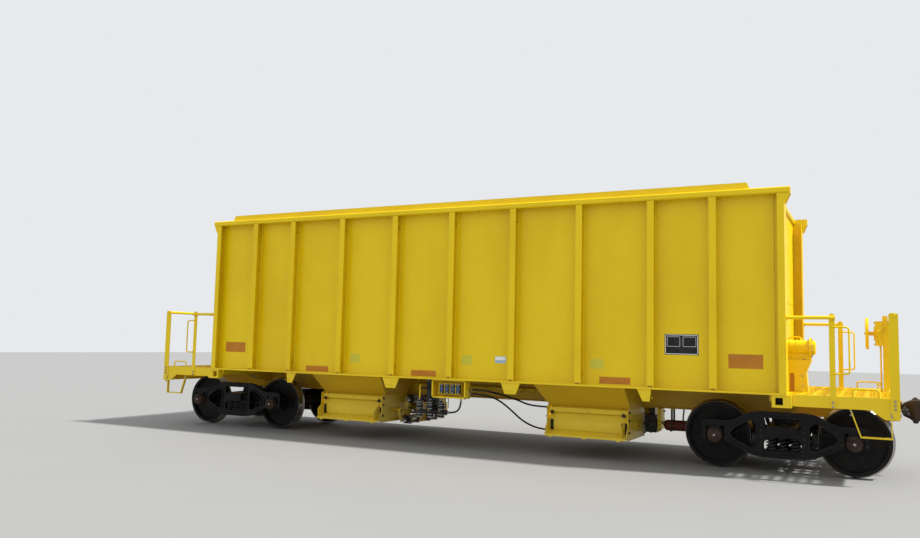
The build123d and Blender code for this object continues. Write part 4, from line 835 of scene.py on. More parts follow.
for end, body in ((-1, "bogie_a"), (1, "bogie_b")):
    makeFrameGear(frameSettings, body, end)
    makeRigging(riggingSettings, body, end)
print("stage: bogies")


# Wheelsets: end caps with three locked bolts, and the rolled rings at both ends of the bearing cup
# rings: distance from the wagon's middle, outer radius

capSettings = {
    "capEnd": 1.130,
    "boltCircle": 0.046,
    "boltAcross": 0.026,
    "lockReach": [0.034, 0.056, 0.034, 0.056, 0.034, 0.056],
    "boss": [(0, 0.019), (0.010, 0.018), (0.014, 0.011), (0.014, 0)],
    "rings": [(0.923, 0.1015), (1.068, 0.1015), (1.086, 0.0945), (1.104, 0.0940)],
}


def makeCaps(settings, body):
    low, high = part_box(body)
    x = (low[0] + high[0]) / 2
    bright = bmesh.new()
    rings = bmesh.new()
    for side in sides:
        out = (0, side, 0)
        face = Vector((x, side * settings["capEnd"], axleZ))
        for c, s in around(3, 90):
            spot = face + Vector((settings["boltCircle"] * c, -side * 0.001, settings["boltCircle"] * s))
            addBolt(rings, spot, out, settings["boltAcross"], stud=False)
        # lock plate under the bolts and the plug in the middle
        corners = zip(around(6, 30), settings["lockReach"])
        plate = [face + Vector((r * c, -side * 0.0005, r * s)) for (c, s), r in corners]
        addPlate(rings, plate, (0, side * 0.003, 0))
        addTurned(bright, face, out, settings["boss"], 16)
        for start, radius in settings["rings"]:
            addCollar(rings, (x, side * start, axleZ), out, radius - 0.006,
                      [(0, radius), (0.012, radius)], 40)
    makePiece(body + "_cap_bolts", bright, finish["brightBolt"], body)
    makePiece(body + "_bearing_rings", rings, finish["bearingBrown"], body)


for body in ("wheelset_a1", "wheelset_a2", "wheelset_b1", "wheelset_b2"):
    makeCaps(capSettings, body)
print("stage: wheelsets")


# Body side: weld beads, reflectors, stencil panel, stickers

bodySettings = {
    "chordFoot": 3.781,
    "postPitch": 1.067,
    "endBay": 0.856,
    "footHalf": 0.045,
    "bead": 0.007,
    "runEnd": 4.84,
    # runs at both ends of a side: x and z from, x and z to, distance from the middle, size, way
    "runs": [
        # corners of the load space, inside and outside
        (4.834, 3.18, 4.834, 3.86, 1.472, 0.010, (-1, 0)),
        (4.842, 1.13, 4.842, 3.78, 1.470, 0.009, (1, 0)),
        # the end slope against the side sheets, and the ridge's slopes
        (2.782, 1.128, 4.832, 3.178, 1.472, 0.011, (0, 1)),
        (1.368, 1.128, 0.002, 2.494, 1.472, 0.011, (0, 1)),
    ],
    # plate joints across the end slopes and the end sheets: x, z, size, first way, second way
    "joints": [(3.80, 2.146, 0.008, (0, 1), (-1, 0)), (4.842, 2.42, 0.006, (1, 0), (0, 1))],
    "jointHalf": 1.47,
    "webFrom": 1.490,
    "webTo": 1.602,
    "flangeFace": 1.6115,
    # half width and height of a post's drain notch, z of its foot
    "notch": (0.044, 0.026, 1.1295),
    "stiffenerZ": (1.30, 3.60),
    "cornerX": 4.983,
    "cornerY": 1.352,
    "cornerZ": (1.30, 1.90, 2.50, 3.10, 3.60),
    "cornerRun": 0.12,
    "lugBolts": (-3.201, -1.067, 1.067, 3.201),
}


def postPlaces(settings):
    inner = [k * settings["postPitch"] for k in range(-3, 4)]
    outer = 3 * settings["postPitch"] + settings["endBay"]
    return [-outer] + inner + [outer]


def addBead(mesh, start, end, size, toward, away):
    # a fillet weld between two plates: a run that swells a little here and there
    reach = [Vector(toward) * size, Vector(away) * size]
    span = Vector(end) - Vector(start)
    count = max(2, int(span.length / 0.35))
    rings = []
    for k in range(count + 1):
        spot = Vector(start) + span * (k / count)
        swell = 1 + 0.18 * (chance.random() - 0.5)
        rings.append([mesh.verts.new(spot), mesh.verts.new(spot + reach[0] * swell),
                      mesh.verts.new(spot + (reach[0] + reach[1]) * 0.62 * swell),
                      mesh.verts.new(spot + reach[1] * swell)])
    joinRings(mesh, rings)
    mesh.faces.new(rings[0])
    mesh.faces.new(list(reversed(rings[-1])))


def makeWelds(settings):
    mesh = bmesh.new()
    low, top, bead, last = ledgeZ, settings["chordFoot"], settings["bead"], settings["runEnd"]
    for side in sides:
        y = side * sheetY
        out, back = (0, side, 0), (0, -side, 0)
        for x in postPlaces(settings):
            for way in (-1, 1):
                foot = x + way * settings["footHalf"]
                addBead(mesh, (foot, y, low), (foot, y, top), bead, (way, 0, 0), out)
        addBead(mesh, (-last, y, low), (last, y, low), bead, (0, 0, 1), out)
        addBead(mesh, (-last, y, top), (last, y, top), bead, (0, 0, -1), out)
        for end in ends:
            for x0, z0, x1, z1, reach, size, (dx, dz) in settings["runs"]:
                y = side * reach
                addBead(mesh, (end * x0, y, z0), (end * x1, y, z1), size, (end * dx, 0, dz), back)
    half = settings["jointHalf"]
    for end in ends:
        for x, z, size, *ways in settings["joints"]:
            toward, away = ((end * dx, 0, dz) for dx, dz in ways)
            addBead(mesh, (end * x, -half, z), (end * x, half, z), size, toward, away)
    makePiece("weld_beads", mesh, paint["body"], smooth=60)


# columns: name, X from and to, Z from and to, finish
markSettings = {
    "thick": 0.0016,
    "marks": [
        ("reflector_end_low", -4.765, -4.297, 1.432, 1.612, "reflectorOrange"),
        ("reflector_left", -2.895, -2.423, 1.140, 1.236, "reflectorOrange"),
        ("reflector_middle", -0.759, -0.293, 1.139, 1.233, "reflectorOrange"),
        ("reflector_right", 2.424, 2.883, 1.146, 1.247, "reflectorOrange"),
        ("reflector_end_high", 4.239, 4.687, 1.430, 1.622, "reflectorOrange"),
        ("panel_black", 3.374, 3.844, 1.592, 1.882, "stencilBlack"),
        ("sticker_blue", 0.747, 0.934, 1.392, 1.496, "filmBlue"),
        ("sticker_green_left", -1.972, -1.778, 1.320, 1.470, "filmGreen"),
        ("sticker_green_middle", 0.172, 0.348, 1.352, 1.496, "filmGreen"),
        ("sticker_green_right", 2.292, 2.490, 1.360, 1.500, "filmGreen"),
    ],
    "frameLine": 0.009,
    "nearSideOnly": ("sticker_blue", "sticker_green_middle"),
}


def makeMarks(settings):
    faces = {}
    line = settings["frameLine"]
    for side in sides:
        turn = -side  # the far side is the near one turned half round
        y = side * sheetY
        face = y + side * settings["thick"]
        for name, left, right, foot, top, kind in settings["marks"]:
            if side > 0 and name in settings["nearSideOnly"]:
                continue
            mesh = faces.setdefault(kind, bmesh.new())
            low, high = sorted((turn * left, turn * right))
            addBlock(mesh, (low, y - side * 0.001, foot), (high, face, top), 0.0006)
            white = faces.setdefault("stencilWhite", bmesh.new())
            back = face - side * 0.0008
            if name == "panel_black":
                # white line round the black panel, thinner ones round its blank boxes
                middle = (low + high) / 2
                boxes = [(low + 0.008, high - 0.008, foot + 0.008, top - 0.008, line)]
                for a, b in ((low + 0.035, middle - 0.02), (middle + 0.02, high - 0.035)):
                    boxes.append((a, b, foot + 0.115, top - 0.035, line * 0.5))
                for a, b, c, d, thin in boxes:
                    for x0, x1, z0, z1 in ((a, b, c, c + thin), (a, b, d - thin, d),
                                           (a, a + thin, c, d), (b - thin, b, c, d)):
                        addBlock(white, (x0, back, z0), (x1, face + side * 0.0006, z1), 0.0003)
            elif kind == "filmBlue":
                # the sticker is white with a blue bar
                front = face + side * 0.0005
                addBlock(white, (low + 0.006, back, foot + 0.046), (high - 0.006, front, top - 0.006), 0.0003)
    for kind, mesh in faces.items():
        makePiece("marks_" + kind, mesh, finish[kind], smooth=30)


makeWelds(bodySettings)
makeMarks(markSettings)


# Posts and sills: web stiffeners, drain notches in painted shade, short corner welds, lug bolts

def makePostGear(settings):
    mesh = bmesh.new()
    notches = bmesh.new()
    for side in sides:
        inner, outer = side * settings["webFrom"], side * settings["webTo"]
        for x in postPlaces(settings):
            # web stiffeners between the post's flanges, near the foot and the top
            for z in settings["stiffenerZ"]:
                for way in (-1, 1):
                    corner = [(0.006, inner), (0.042, inner), (0.046, outer), (0.006, outer)]
                    addHull(mesh, [(x + way * dx, y, z + dz) for dz in (0, 0.008) for dx, y in corner])
            # drain notch at the post's foot: a flat deep orange half-disc, painted shade for the notch's
            # hollow
            face = side * settings["flangeFace"]
            half, high, foot = settings["notch"]
            outline = [(x + half * c, face, foot + high * s) for c, s in around(16)[:9]]
            addPlate(notches, outline, (0, side * 0.0015, 0))
        for end in ends:
            # short weld runs up the corner between the side sheet and the end
            x, y = end * settings["cornerX"], side * settings["cornerY"]
            for z in settings["cornerZ"]:
                top = (x, y, z + settings["cornerRun"])
                addBead(mesh, (x, y, z), top, settings["bead"], (0, -side, 0), (-end, 0, 0))
    makePiece("post_stiffeners", mesh, paint["body"])
    makePiece("drain_notch_shade", notches, finish["paintedShadeOrange"])
    bolts = bmesh.new()
    for side in sides:
        for x in settings["lugBolts"]:
            for dx in (-0.03, 0.03):
                addBolt(bolts, (x + dx, side * 1.612, 0.985), (0, side, 0), 0.018, stud=False)
    makePiece("lug_bolts", bolts, paint["trim"])


makePostGear(bodySettings)
print("stage: body side")


# Gate gear: cylinder tie rods, glands, port fittings, lever bosses, pins, dark strips of painted shade at the
# leaves' ends

gearSettings = {
    "leverX": 1.389,
    "portReach": 0.071,
    "tieReach": 0.056,
    "tieRadius": 0.0075,
    "leafFrom": 1.515,
    "leafTo": 2.753,
    "leafAngles": range(-13, 10, 2),
    "gapShadeWidth": 0.088,
    "gapShadeRadii": (0.4078, 0.4108),
    "eye": (0.0883, 0.1660),
    # columns: z, face of the front head, face of the back head
    "cylinders": [(0.319, 0.4977, 0.1837), (0.673, 0.3777, 0.0637)],
}


def makeCylinderGear(settings):
    ties = bmesh.new()
    glands = bmesh.new()
    brass = bmesh.new()
    reach, port = settings["tieReach"], settings["portReach"]
    for end in ends:
        x = end * settings["leverX"]
        for side in sides:
            for z, frontFace, backFace in settings["cylinders"]:
                front, back = side * frontFace, side * backFace
                for dx in (-reach, reach):
                    for dz in (-reach, reach):
                        tx, tz = x + dx, z + dz
                        addRod(ties, (tx, back - side * 0.006, tz), (tx, front + side * 0.010, tz),
                               settings["tieRadius"], 8)
                        for y, way in ((front, side), (back, -side)):
                            if abs(y) > 0.1:  # no room for the nuts near the middle
                                addTurned(ties, (tx, y, tz), (0, way, 0),
                                          [(0, 0.0135), (0.008, 0.0135), (0.010, 0.011)], 6)
                # gland round the rod
                addCollar(glands, (x, front, z), (0, side, 0), 0.0195,
                          [(0, 0.038), (0.012, 0.037), (0.016, 0.030)], 24)
                # the front head's port takes a hose, the back head's a silencer; plugs on the far side
                fittings = [
                    (front - side * 0.021, [(0.001, [(0, 0.0225), (0.016, 0.0225), (0.018, 0.0205)], 6),
                                            (0.020, [(0, 0.0175), (0.022, 0.0165), (0.024, 0.0145)], 16)]),
                    (back + side * 0.021, [(0, [(0, 0.017), (0.014, 0.017), (0.016, 0.015)], 6),
                                           (0.016, [(0, 0.011), (0.02, 0.011), (0.024, 0.0)], 12)]),
                ]
                for y, parts in fittings:
                    for along, profile, facets in parts:
                        addTurned(brass, (x - end * (port + along), y, z), (-end, 0, 0), profile, facets)
                    addTurned(glands, (x + end * port, y, z), (end, 0, 0),
                              [(0, 0.012), (0.006, 0.012), (0.008, 0.009)], 6)
    makePiece("cylinder_ties", ties, finish["platedSteel"])
    makePiece("cylinder_glands", glands, finish["blackEnamel"])
    makePiece("cylinder_ports", brass, finish["brass"])


def makeLeverGear(settings, body, end, side, out):
    # ring bosses on the curved lever, keeper on the shaft's end, washers and caps on its eye
    rings = bmesh.new()
    pins = bmesh.new()
    hubY = side * (gateY + out * shaftOffset)
    x = end * settings["leverX"]
    # the eye is the lever's far tip: it leans inboard, up or down
    tipY = hubY - side * settings["eye"][0]
    tipZ = shaftZ - out * settings["eye"][1]
    for y, z, bore, outside, facets in (
            (hubY, shaftZ, 0.0265, [(0, 0.046), (0.006, 0.045), (0.008, 0.042)], 28),
            (tipY, tipZ, 0.0135, [(0, 0.024), (0.002, 0.024), (0.0025, 0.0235)], 20)):
        for way in (-1, 1):
            addCollar(rings, (x + way * 0.012, y, z), (way, 0, 0), bore, outside, facets)
    washer = [(0, 0.0125), (0.0015, 0.021), (0.0045, 0.021), (0.0055, 0.019)]
    for way in (-1, 1):
        addTurned(pins, (x + way * 0.0275, tipY, tipZ), (way, 0, 0), washer, 18)
    addTurned(pins, (x - end * 0.0262, hubY, shaftZ), (-end, 0, 0),
              [(0, 0.020), (0.001, 0.020), (0.003, 0.018)], 18)
    addBolt(pins, (x - end * 0.0285, hubY, shaftZ), (-end, 0, 0), 0.018, stud=False)
    far = end * (boxX + boxHalf + boxPlate)
    addTurned(pins, (far + end * 0.0142, hubY, shaftZ), (end, 0, 0),
              [(0, 0.021), (0.002, 0.021), (0.005, 0.017)], 18)
    if out > 0:
        # dark strips across the outer leaf's ends, clear of the cheeks outside: painted shade for the gaps
        # there, in the hoses' black rubber finish
        leafGapShade = bmesh.new()
        width = settings["gapShadeWidth"]
        angles = [math.radians(a) for a in settings["leafAngles"]]
        for low in (settings["leafFrom"] + 0.001, settings["leafTo"] - width - 0.001):
            start = end * low if end > 0 else end * (low + width)
            outline = []
            for radius, run in zip(settings["gapShadeRadii"], (angles, angles[::-1])):
                outline += [(start, hubY + side * radius * math.cos(a), shaftZ + radius * math.sin(a))
                            for a in run]
            addPlate(leafGapShade, outline, (width, 0, 0))
        makePiece(body + "_gap_shade", leafGapShade, finish["hoseRubber"], body, smooth=20)
    makePiece(body + "_bosses", rings, paint["under"], body)
    makePiece(body + "_pins", pins, finish["darkBolt"], body)


# plateBolts: distance outboard of the gates' middle, z
boxSettings = {
    "plateBolts": [(0.435, 0.715), (0.445, 0.60), (0.445, 0.42),
                   (-0.445, 0.66), (-0.445, 0.50), (-0.445, 0.36)],
    # half length, y from and to, z from and to
    "lugs": [(0.018, (1.126, 1.140), (0.688, 0.738)), (0.030, (1.292, 1.304), (0.302, 0.334))],
    "lipShadeOutline": [(1.158, 0.3755), (1.290, 0.3262), (1.291, 0.3292), (1.159, 0.3785)],
    "lipShadeWidth": 0.084,
    "weld": (1.040, 0.757),
    "sideBolt": (1.139, 0.668),
}


def makeBoxGear(settings):
    # discharge boxes: bush housings, flange bolts, corner welds, lugs, dark strips on the lips' ends as
    # painted shade
    bushes = bmesh.new()
    bolts = bmesh.new()
    lipGapShade = bmesh.new()
    for end in ends:
        low, high = sorted((end * (boxX - boxHalf), end * (boxX + boxHalf)))
        for side in sides:
            for reach, way in ((boxX - boxHalf - boxPlate, -end), (boxX + boxHalf + boxPlate, end)):
                plate = end * reach
                for out in (-1, 1):
                    addCollar(bushes, (plate, side * (gateY + out * shaftOffset), shaftZ), (way, 0, 0),
                              0.0275, [(0, 0.047), (0.008, 0.046), (0.009, 0.044)], 28)
                # round bolts near the top of the plate, and down both edges
                for offset, z in settings["plateBolts"]:
                    addBolt(bolts, (plate, side * (gateY + offset), z), (way, 0, 0), 0.030)
            # lugs on the ledge bar, small bar lugs below the outer lip
            for x in (low + 0.10, (low + high) / 2, high - 0.10):
                for half, (near, far), (foot, top) in settings["lugs"]:
                    addBlock(bushes, (x - half, side * near, foot), (x + half, side * far, top), 0.003)
            for x in (low + 0.065, high - 0.065):
                y, z = settings["sideBolt"]
                addBolt(bolts, (x, side * y, z), (0, side, 0), 0.048)
            # dark strips on the lip's ends: painted shade for the gaps beside the lip
            for x in (low + 0.001, high - settings["lipShadeWidth"] - 0.001):
                outline = [(x, side * y, z) for y, z in settings["lipShadeOutline"]]
                addPlate(lipGapShade, outline, (settings["lipShadeWidth"], 0, 0))
            weld = [(x, side * settings["weld"][0], settings["weld"][1]) for x in (low, high)]
            addBead(bushes, *weld, 0.010, (0, side, 0), (0, 0, -1))
    makePiece("box_bushes", bushes, paint["under"])
    makePiece("box_bolts", bolts, finish["darkBolt"])
    makePiece("lip_gap_shade", lipGapShade, finish["hoseRubber"])


makeCylinderGear(gearSettings)
for pocket, end, side in (("a", -1, -1), ("b", 1, -1), ("c", 1, 1), ("d", -1, 1)):
    for kind, out in (("inner", -1), ("outer", 1)):
        makeLeverGear(gearSettings, "gate_" + pocket + "_" + kind, end, side, out)
makeBoxGear(boxSettings)
print("stage: gate gear")


# Control cabinet: four valve units with blue caps, folded lips, handle, thin tubes below

cabinetSettings = {
    "frontY": -1.600,
    "foot": 0.816,
    "top": 1.116,
    "half": 0.300,
    "lip": 0.022,
    "unitFrom": -0.175,
    "unitPitch": 0.098,
    "unitWidth": 0.082,
    "unitFace": -1.560,
    "unitZ": (0.885, 1.038),
    "plateZ": (0.925, 0.990),
    "portZ": (0.904, 1.016),
    "capZ": 0.958,
    "hingesX": (-0.22, 0.0, 0.22),
    "tubesFrom": -0.20,
    "tubePitch": 0.055,
    "tubesY": -1.52,
    "floorBoltsX": (-0.25, -0.08, 0.12, 0.25),
    "handle": [(0.001, 0.86), (0.03, 0.86), (0.045, 0.90), (0.03, 0.94), (0.001, 0.94)],
    "glands": [(1, -1.50, 0.90), (1, -1.45, 0.96), (-1, -1.45, 0.96)],
    "sleeve": [(0, 0.0142), (0, 0.0185), (0.038, 0.0180), (0.040, 0.0142)],
}


def makeCabinet(settings):
    black = bmesh.new()
    grey = bmesh.new()
    blue = bmesh.new()
    plated = bmesh.new()
    yellow = bmesh.new()
    face, width = settings["unitFace"], settings["unitWidth"]
    near = (0, -1, 0)
    for k in range(4):
        x = settings["unitFrom"] + k * settings["unitPitch"]
        middle = x + width / 2
        low, high = settings["unitZ"]
        addBlock(black, (x, face - 0.012, low), (x + width, face + 0.02, high), 0.004)
        low, high = settings["plateZ"]
        addBlock(grey, (x + 0.008, face - 0.020, low), (x + width - 0.008, face - 0.010, high), 0.003)
        port = [(0, 0.014), (0.010, 0.014), (0.013, 0.011)]
        for z in settings["portZ"]:
            addTurned(plated, (middle, face - 0.010, z), near, port, 12)
        cap = [(0, 0.022), (0.008, 0.022), (0.012, 0.018)]
        addTurned(blue, (middle, face - 0.019, settings["capZ"]), near, cap, 18)
        for dx in (0.012, 0.070):
            addBolt(plated, (x + dx, face - 0.011, 1.030), near, 0.010, stud=False)
    # folded lips round the opening
    half, front, foot, top, lip = (settings[k] for k in ("half", "frontY", "foot", "top", "lip"))
    for x0, x1, z0, z1 in ((-half, half, foot, foot + lip), (-half, half, top - 0.030, top),
                           (-half, -half + lip, foot, top), (half - lip, half, foot, top)):
        addBlock(yellow, (x0, front - 0.001, z0), (x1, front + 0.004, z1), 0.002)
    # hinge knuckles of the cover above the opening
    for x in settings["hingesX"]:
        addTurned(yellow, (x - 0.03, front - 0.004, top - 0.006), (1, 0, 0), [(0, 0.008), (0.06, 0.008)], 10)
    # bent handle on the near end plate, with its round hole's collar
    makePipe("cabinet_handle", [(half + dx, -1.585, z) for dx, z in settings["handle"]], 0.005, paint["trim"])
    addCollar(yellow, (half, -1.47, 0.86), (1, 0, 0), 0.024, [(0, 0.034), (0.004, 0.033)], 20)
    # glands where the hoses leave the end plates
    for way, y, z in settings["glands"]:
        addCollar(plated, (way * half, y, z), (way, 0, 0), 0.0145,
                  [(0, 0.026), (0.012, 0.026), (0.014, 0.024)], 6)
        addTurned(plated, (way * (half + 0.014), y, z), (way, 0, 0), settings["sleeve"], 18, hollow=True)
    # four thin tubes that drop out of the floor, each in a plated fitting
    down, y = (0, 0, -1), settings["tubesY"]
    for k in range(4):
        x = settings["tubesFrom"] + k * settings["tubePitch"]
        drop = 0.10 + 0.012 * k
        addTurned(plated, (x, y, foot), down, [(0, 0.011), (0.016, 0.011), (0.018, 0.009)], 6)
        addTurned(black, (x, y, foot - 0.016), down, [(0, 0.006), (drop, 0.006), (drop + 0.002, 0.0045)], 10)
    for x in settings["floorBoltsX"]:
        addBolt(plated, (x, y + 0.02, foot + 0.0005), down, 0.018)
    makePiece("cabinet_bodies", black, finish["blackEnamel"])
    makePiece("cabinet_plates", grey, finish["valveGrey"])
    makePiece("cabinet_caps", blue, finish["valveBlue"])
    makePiece("cabinet_fittings", plated, finish["platedSteel"])
    makePiece("cabinet_lips", yellow, paint["trim"])


def makeCoveredBoxLid():
    # covered box on the other side: lid lip, hinges, turn buckles
    cover = bmesh.new()
    low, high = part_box("covered_box")
    face = high[1]
    addBlock(cover, (low[0] - 0.006, face - 0.02, high[2] - 0.030),
             (high[0] + 0.006, face + 0.007, high[2] - 0.002), 0.003)
    addBlock(cover, (low[0] + 0.03, face - 0.001, low[2] + 0.03),
             (high[0] - 0.03, face + 0.004, high[2] - 0.05), 0.003)
    for x in (low[0] + 0.10, high[0] - 0.10):
        addTurned(cover, (x - 0.035, face + 0.006, high[2] - 0.036), (1, 0, 0),
                  [(0, 0.008), (0.07, 0.008)], 10)
        addBlock(cover, (x - 0.012, face + 0.003, low[2] + 0.035), (x + 0.012, face + 0.012, low[2] + 0.085),
                 0.003)
        addTurned(cover, (x, face + 0.010, low[2] + 0.06), (0, 1, 0), [(0, 0.012), (0.006, 0.010)], 12)
    makePiece("covered_box_lid", cover, paint["trim"])


makeCabinet(cabinetSettings)
makeCoveredBoxLid()


# Air valves and pipes: caps, unions, tees, saddles, supply pipe from the air main

airSettings = {
    "valvesX": (-0.62, -0.42, -0.22),
    "valveY": -1.41,
    "manifoldZ": 0.574,
    "mainY": -0.23,
    "mainZ": 0.931,
    # ends of a valve: z, way, radius of the neck
    "valveEnds": [(0.494, -1, 0.02), (0.714, 1, 0.0225)],
    "valveBolts": 0.038,
    "bandsZ": (0.53, 0.62, 0.68),
    "bracketBoltsX": (-0.50, -0.34),
    "bracketBoltsZ": (0.70, 0.95, 1.08),
    "bracketFace": -1.340,
    "couplingsX": (-0.62, 0.05, 0.70),
    "flangesX": (-1.05, 1.02),
    "flangeBolts": 0.043,
    "saddlesX": (-0.9, 0.0, 0.9),
    # the branch: y and z of its bends
    "branch": [(-0.245, 0.931), (-0.34, 0.931), (-0.42, 0.931), (-0.52, 0.94), (-0.70, 0.955), (-1.10, 0.985),
               (-1.30, 1.00), (-1.395, 1.0), (-1.41, 0.98), (-1.41, 0.90), (-1.41, 0.775)],
}


def makeAirGear(settings):
    plated = bmesh.new()
    brass = bmesh.new()
    yellow = bmesh.new()
    valveY, manifoldZ, mainY, mainZ = (settings[k] for k in ("valveY", "manifoldZ", "mainY", "mainZ"))
    for x in settings["valvesX"]:
        for z, way, neck in settings["valveEnds"]:
            addTurned(plated, (x, valveY, z), (0, 0, way),
                      [(0, 0.052), (0.008, 0.052), (0.012, 0.046), (0.012, neck)], 20)
            reach = settings["valveBolts"]
            for c, s in around(4, 45):
                spot = (x + reach * c, valveY + reach * s, z + way * 0.011)
                addBolt(plated, spot, (0, 0, way), 0.012, stud=False)
        addTurned(plated, (x, valveY, 0.759), (0, 0, 1),
                  [(0, 0.0215), (0.010, 0.0215), (0.018, 0.010), (0.018, 0)], 14)
        for z in settings["bandsZ"]:
            addCollar(plated, (x, valveY, z), (0, 0, 1), 0.0548, [(0, 0.0572), (0.006, 0.0572)], 24)
        addTurned(brass, (x, -1.4645, 0.60), (0, -1, 0),
                  [(0, 0.014), (0.012, 0.014), (0.014, 0.010), (0.022, 0.010), (0.024, 0.007)], 6)
    # plug at the manifold's outer end, the supply hose's union at its inner end
    addTurned(plated, (-0.712, valveY, manifoldZ), (-1, 0, 0),
              [(0, 0.024), (0.02, 0.024), (0.024, 0.018), (0.05, 0.018), (0.052, 0.0)], 14)
    addCollar(brass, (-0.139, valveY, manifoldZ), (1, 0, 0), 0.0305,
              [(0, 0.040), (0.018, 0.040), (0.020, 0.036)], 6)
    for x in settings["bracketBoltsX"]:
        for z in settings["bracketBoltsZ"]:
            addBolt(plated, (x, settings["bracketFace"], z), (0, -1, 0), 0.022)
    # couplings, flange unions and saddles on the air main beside the centre sill
    for x in settings["couplingsX"]:
        addCollar(yellow, (x, mainY, mainZ), (1, 0, 0), 0.021, [(0, 0.033), (0.05, 0.033)], 16)
    reach = settings["flangeBolts"]
    for x in settings["flangesX"]:
        for dx in (0, 0.018):
            addCollar(yellow, (x + dx, mainY, mainZ), (1, 0, 0), 0.021, [(0, 0.055), (0.014, 0.055)], 24)
        for c, s in around(4, 45):
            addBolt(plated, (x + 0.032, mainY + reach * c, mainZ + reach * s), (1, 0, 0), 0.013)
    for x in settings["saddlesX"]:
        addCollar(yellow, (x - 0.018, mainY, mainZ), (1, 0, 0), 0.0205, [(0, 0.027), (0.036, 0.027)], 18)
        for way in (-1, 1):
            addBolt(plated, (x, mainY + 0.045, mainZ + way * 0.00832), (0, 0, way), 0.014)
    # branch from the air main to the manifold, with its elbows
    x = settings["valvesX"][0]
    makePipe("supply_branch", [(x, y, z) for y, z in settings["branch"]], 0.015, paint["under"])
    addTurned(yellow, (x, -0.24, mainZ), (0, -1, 0), [(0, 0.026), (0.03, 0.026), (0.034, 0.022)], 14)
    addCollar(brass, (x, valveY, 0.80), (0, 0, -1), 0.0155, [(0, 0.022), (0.022, 0.022)], 6)
    makePiece("air_plated", plated, finish["platedSteel"])
    makePiece("air_brass", brass, finish["brass"])
    makePiece("air_couplings", yellow, paint["under"])


def makeLoadValveCover():
    # bolted cover with its round cap, and the port on the valve's end
    cast = bmesh.new()
    low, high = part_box("load_valve")
    face = low[1]
    foot, top = 0.40, 0.612
    addBlock(cast, (low[0] + 0.012, face - 0.014, foot), (high[0] - 0.012, face + 0.004, top), 0.006)
    addTurned(cast, ((low[0] + high[0]) / 2, face - 0.013, 0.506), (0, -1, 0),
              [(0, 0.062), (0.022, 0.056), (0.026, 0.048)], 24)
    for x in (low[0] + 0.028, high[0] - 0.028):
        for z in (foot + 0.020, top - 0.020):
            addBolt(cast, (x, face - 0.013, z), (0, -1, 0), 0.018)
    addTurned(cast, (high[0], -0.22, 0.55), (1, 0, 0), [(0, 0.03), (0.03, 0.03), (0.034, 0.024)], 6)
    makePiece("load_valve_cover", cast, finish["blackEnamel"])


makeAirGear(airSettings)
makeLoadValveCover()
print("stage: air gear")


# Platform gratings: expanded metal over the slotted planks, zigzag strands that meet in lozenges

gratingSettings = {
    "top": 1.1175,
    "deep": 0.013,
    "strand": 0.0046,
    "from": 4.996,
    "to": 6.218,
    "halfY": 1.428,
    "pitch": 0.0345,
    "step": 0.046,
}


def makeGratings(settings):
    mesh = bmesh.new()
    start, stop, half, pitch = (settings[k] for k in ("from", "to", "halfY", "pitch"))
    count = round((stop - start) / pitch)
    steps = round(2 * half / settings["step"])
    low, top = settings["top"] - settings["deep"], settings["top"]
    thick = settings["strand"] / 2
    # each strand leans over on its way up
    section = [(-1.4, low), (0.6, low), (1.4, top), (-0.6, top)]
    for end in ends:
        for line in range(count):
            rings = []
            for k in range(steps + 1):
                sway = pitch / 2 * (1 if (line + k) % 2 else -1)
                x = end * (start + (line + 0.5) * pitch + sway)
                y = -half + 2 * half * k / steps
                rings.append([mesh.verts.new((x + thick * lean, y, z)) for lean, z in section])
            joinRings(mesh, rings)
        for edge in (-half + 0.004, half - 0.004):
            addBlock(mesh, (end * start, edge - 0.004, low), (end * stop, edge + 0.004, top), 0.001)
    makePiece("grating_strands", mesh, paint["trim"], smooth=30)


makeGratings(gratingSettings)


# Railings, ladders and platform edges: bolts, gussets, weld collars

# collars: x, y, z, the bore, outside from foot to tip, facets; gussets: x from and to
railingSettings = {
    "collars": [
        (5.566, 1.506, 2.003, 0.0125, [(0, 0.020), (0.005, 0.018)], 14),
        (5.566, 1.506, 1.403, 0.0125, [(0, 0.020), (0.005, 0.018)], 14),
        (4.985, 1.526, 2.123, 0.0245, [(0, 0.040), (0.008, 0.040)], 20),
        (5.5655, 1.526, 2.123, 0.0245, [(0, 0.030), (0.006, 0.029)], 20),
    ],
    "footCollars": (5.76, 6.06),
    "footCollarY": 1.470,
    # bolts at the posts' feet: x, how many
    "postBolts": [(5.530, 2), (6.235, 3)],
    "postBoltY": 1.512,
    "postBoltZ": 0.985,
    "postBoltPitch": 0.05,
    # bolts of the sill step: x, distance of the upper from the lower
    "stepBolts": [(5.735, 0.045), (6.192, 0.036)],
    "stepBoltY": 1.4995,
    "stepBoltZ": 0.890,
    "gussets": [(5.16, 5.168), (5.31, 5.318), (5.75, 5.758)],
    "gussetY": (1.489, 1.442),
    "gussetZ": (0.971, 1.106),
    "tread": ((5.86, 1.448, 0.619), (6.18, 1.452, 0.626)),
    "postCap": (6.235, 1.500, 2.157),
    "rungs": 5,
    "rungFace": 4.842,
    "firstRung": 1.536,
    "rungPitch": 0.45,
    "rungEnds": (0.915, 1.395),
    "rungBolts": (-0.0112, 0.0112),
    "sillBoltsY": (0.28, 0.70, 1.10, 1.40),
    "sillFace": 6.2895,
    "sillBoltZ": 0.92,
    "openingEdge": ((6.286, 0.212, 0.86), (6.294, 0.236, 1.07)),
}


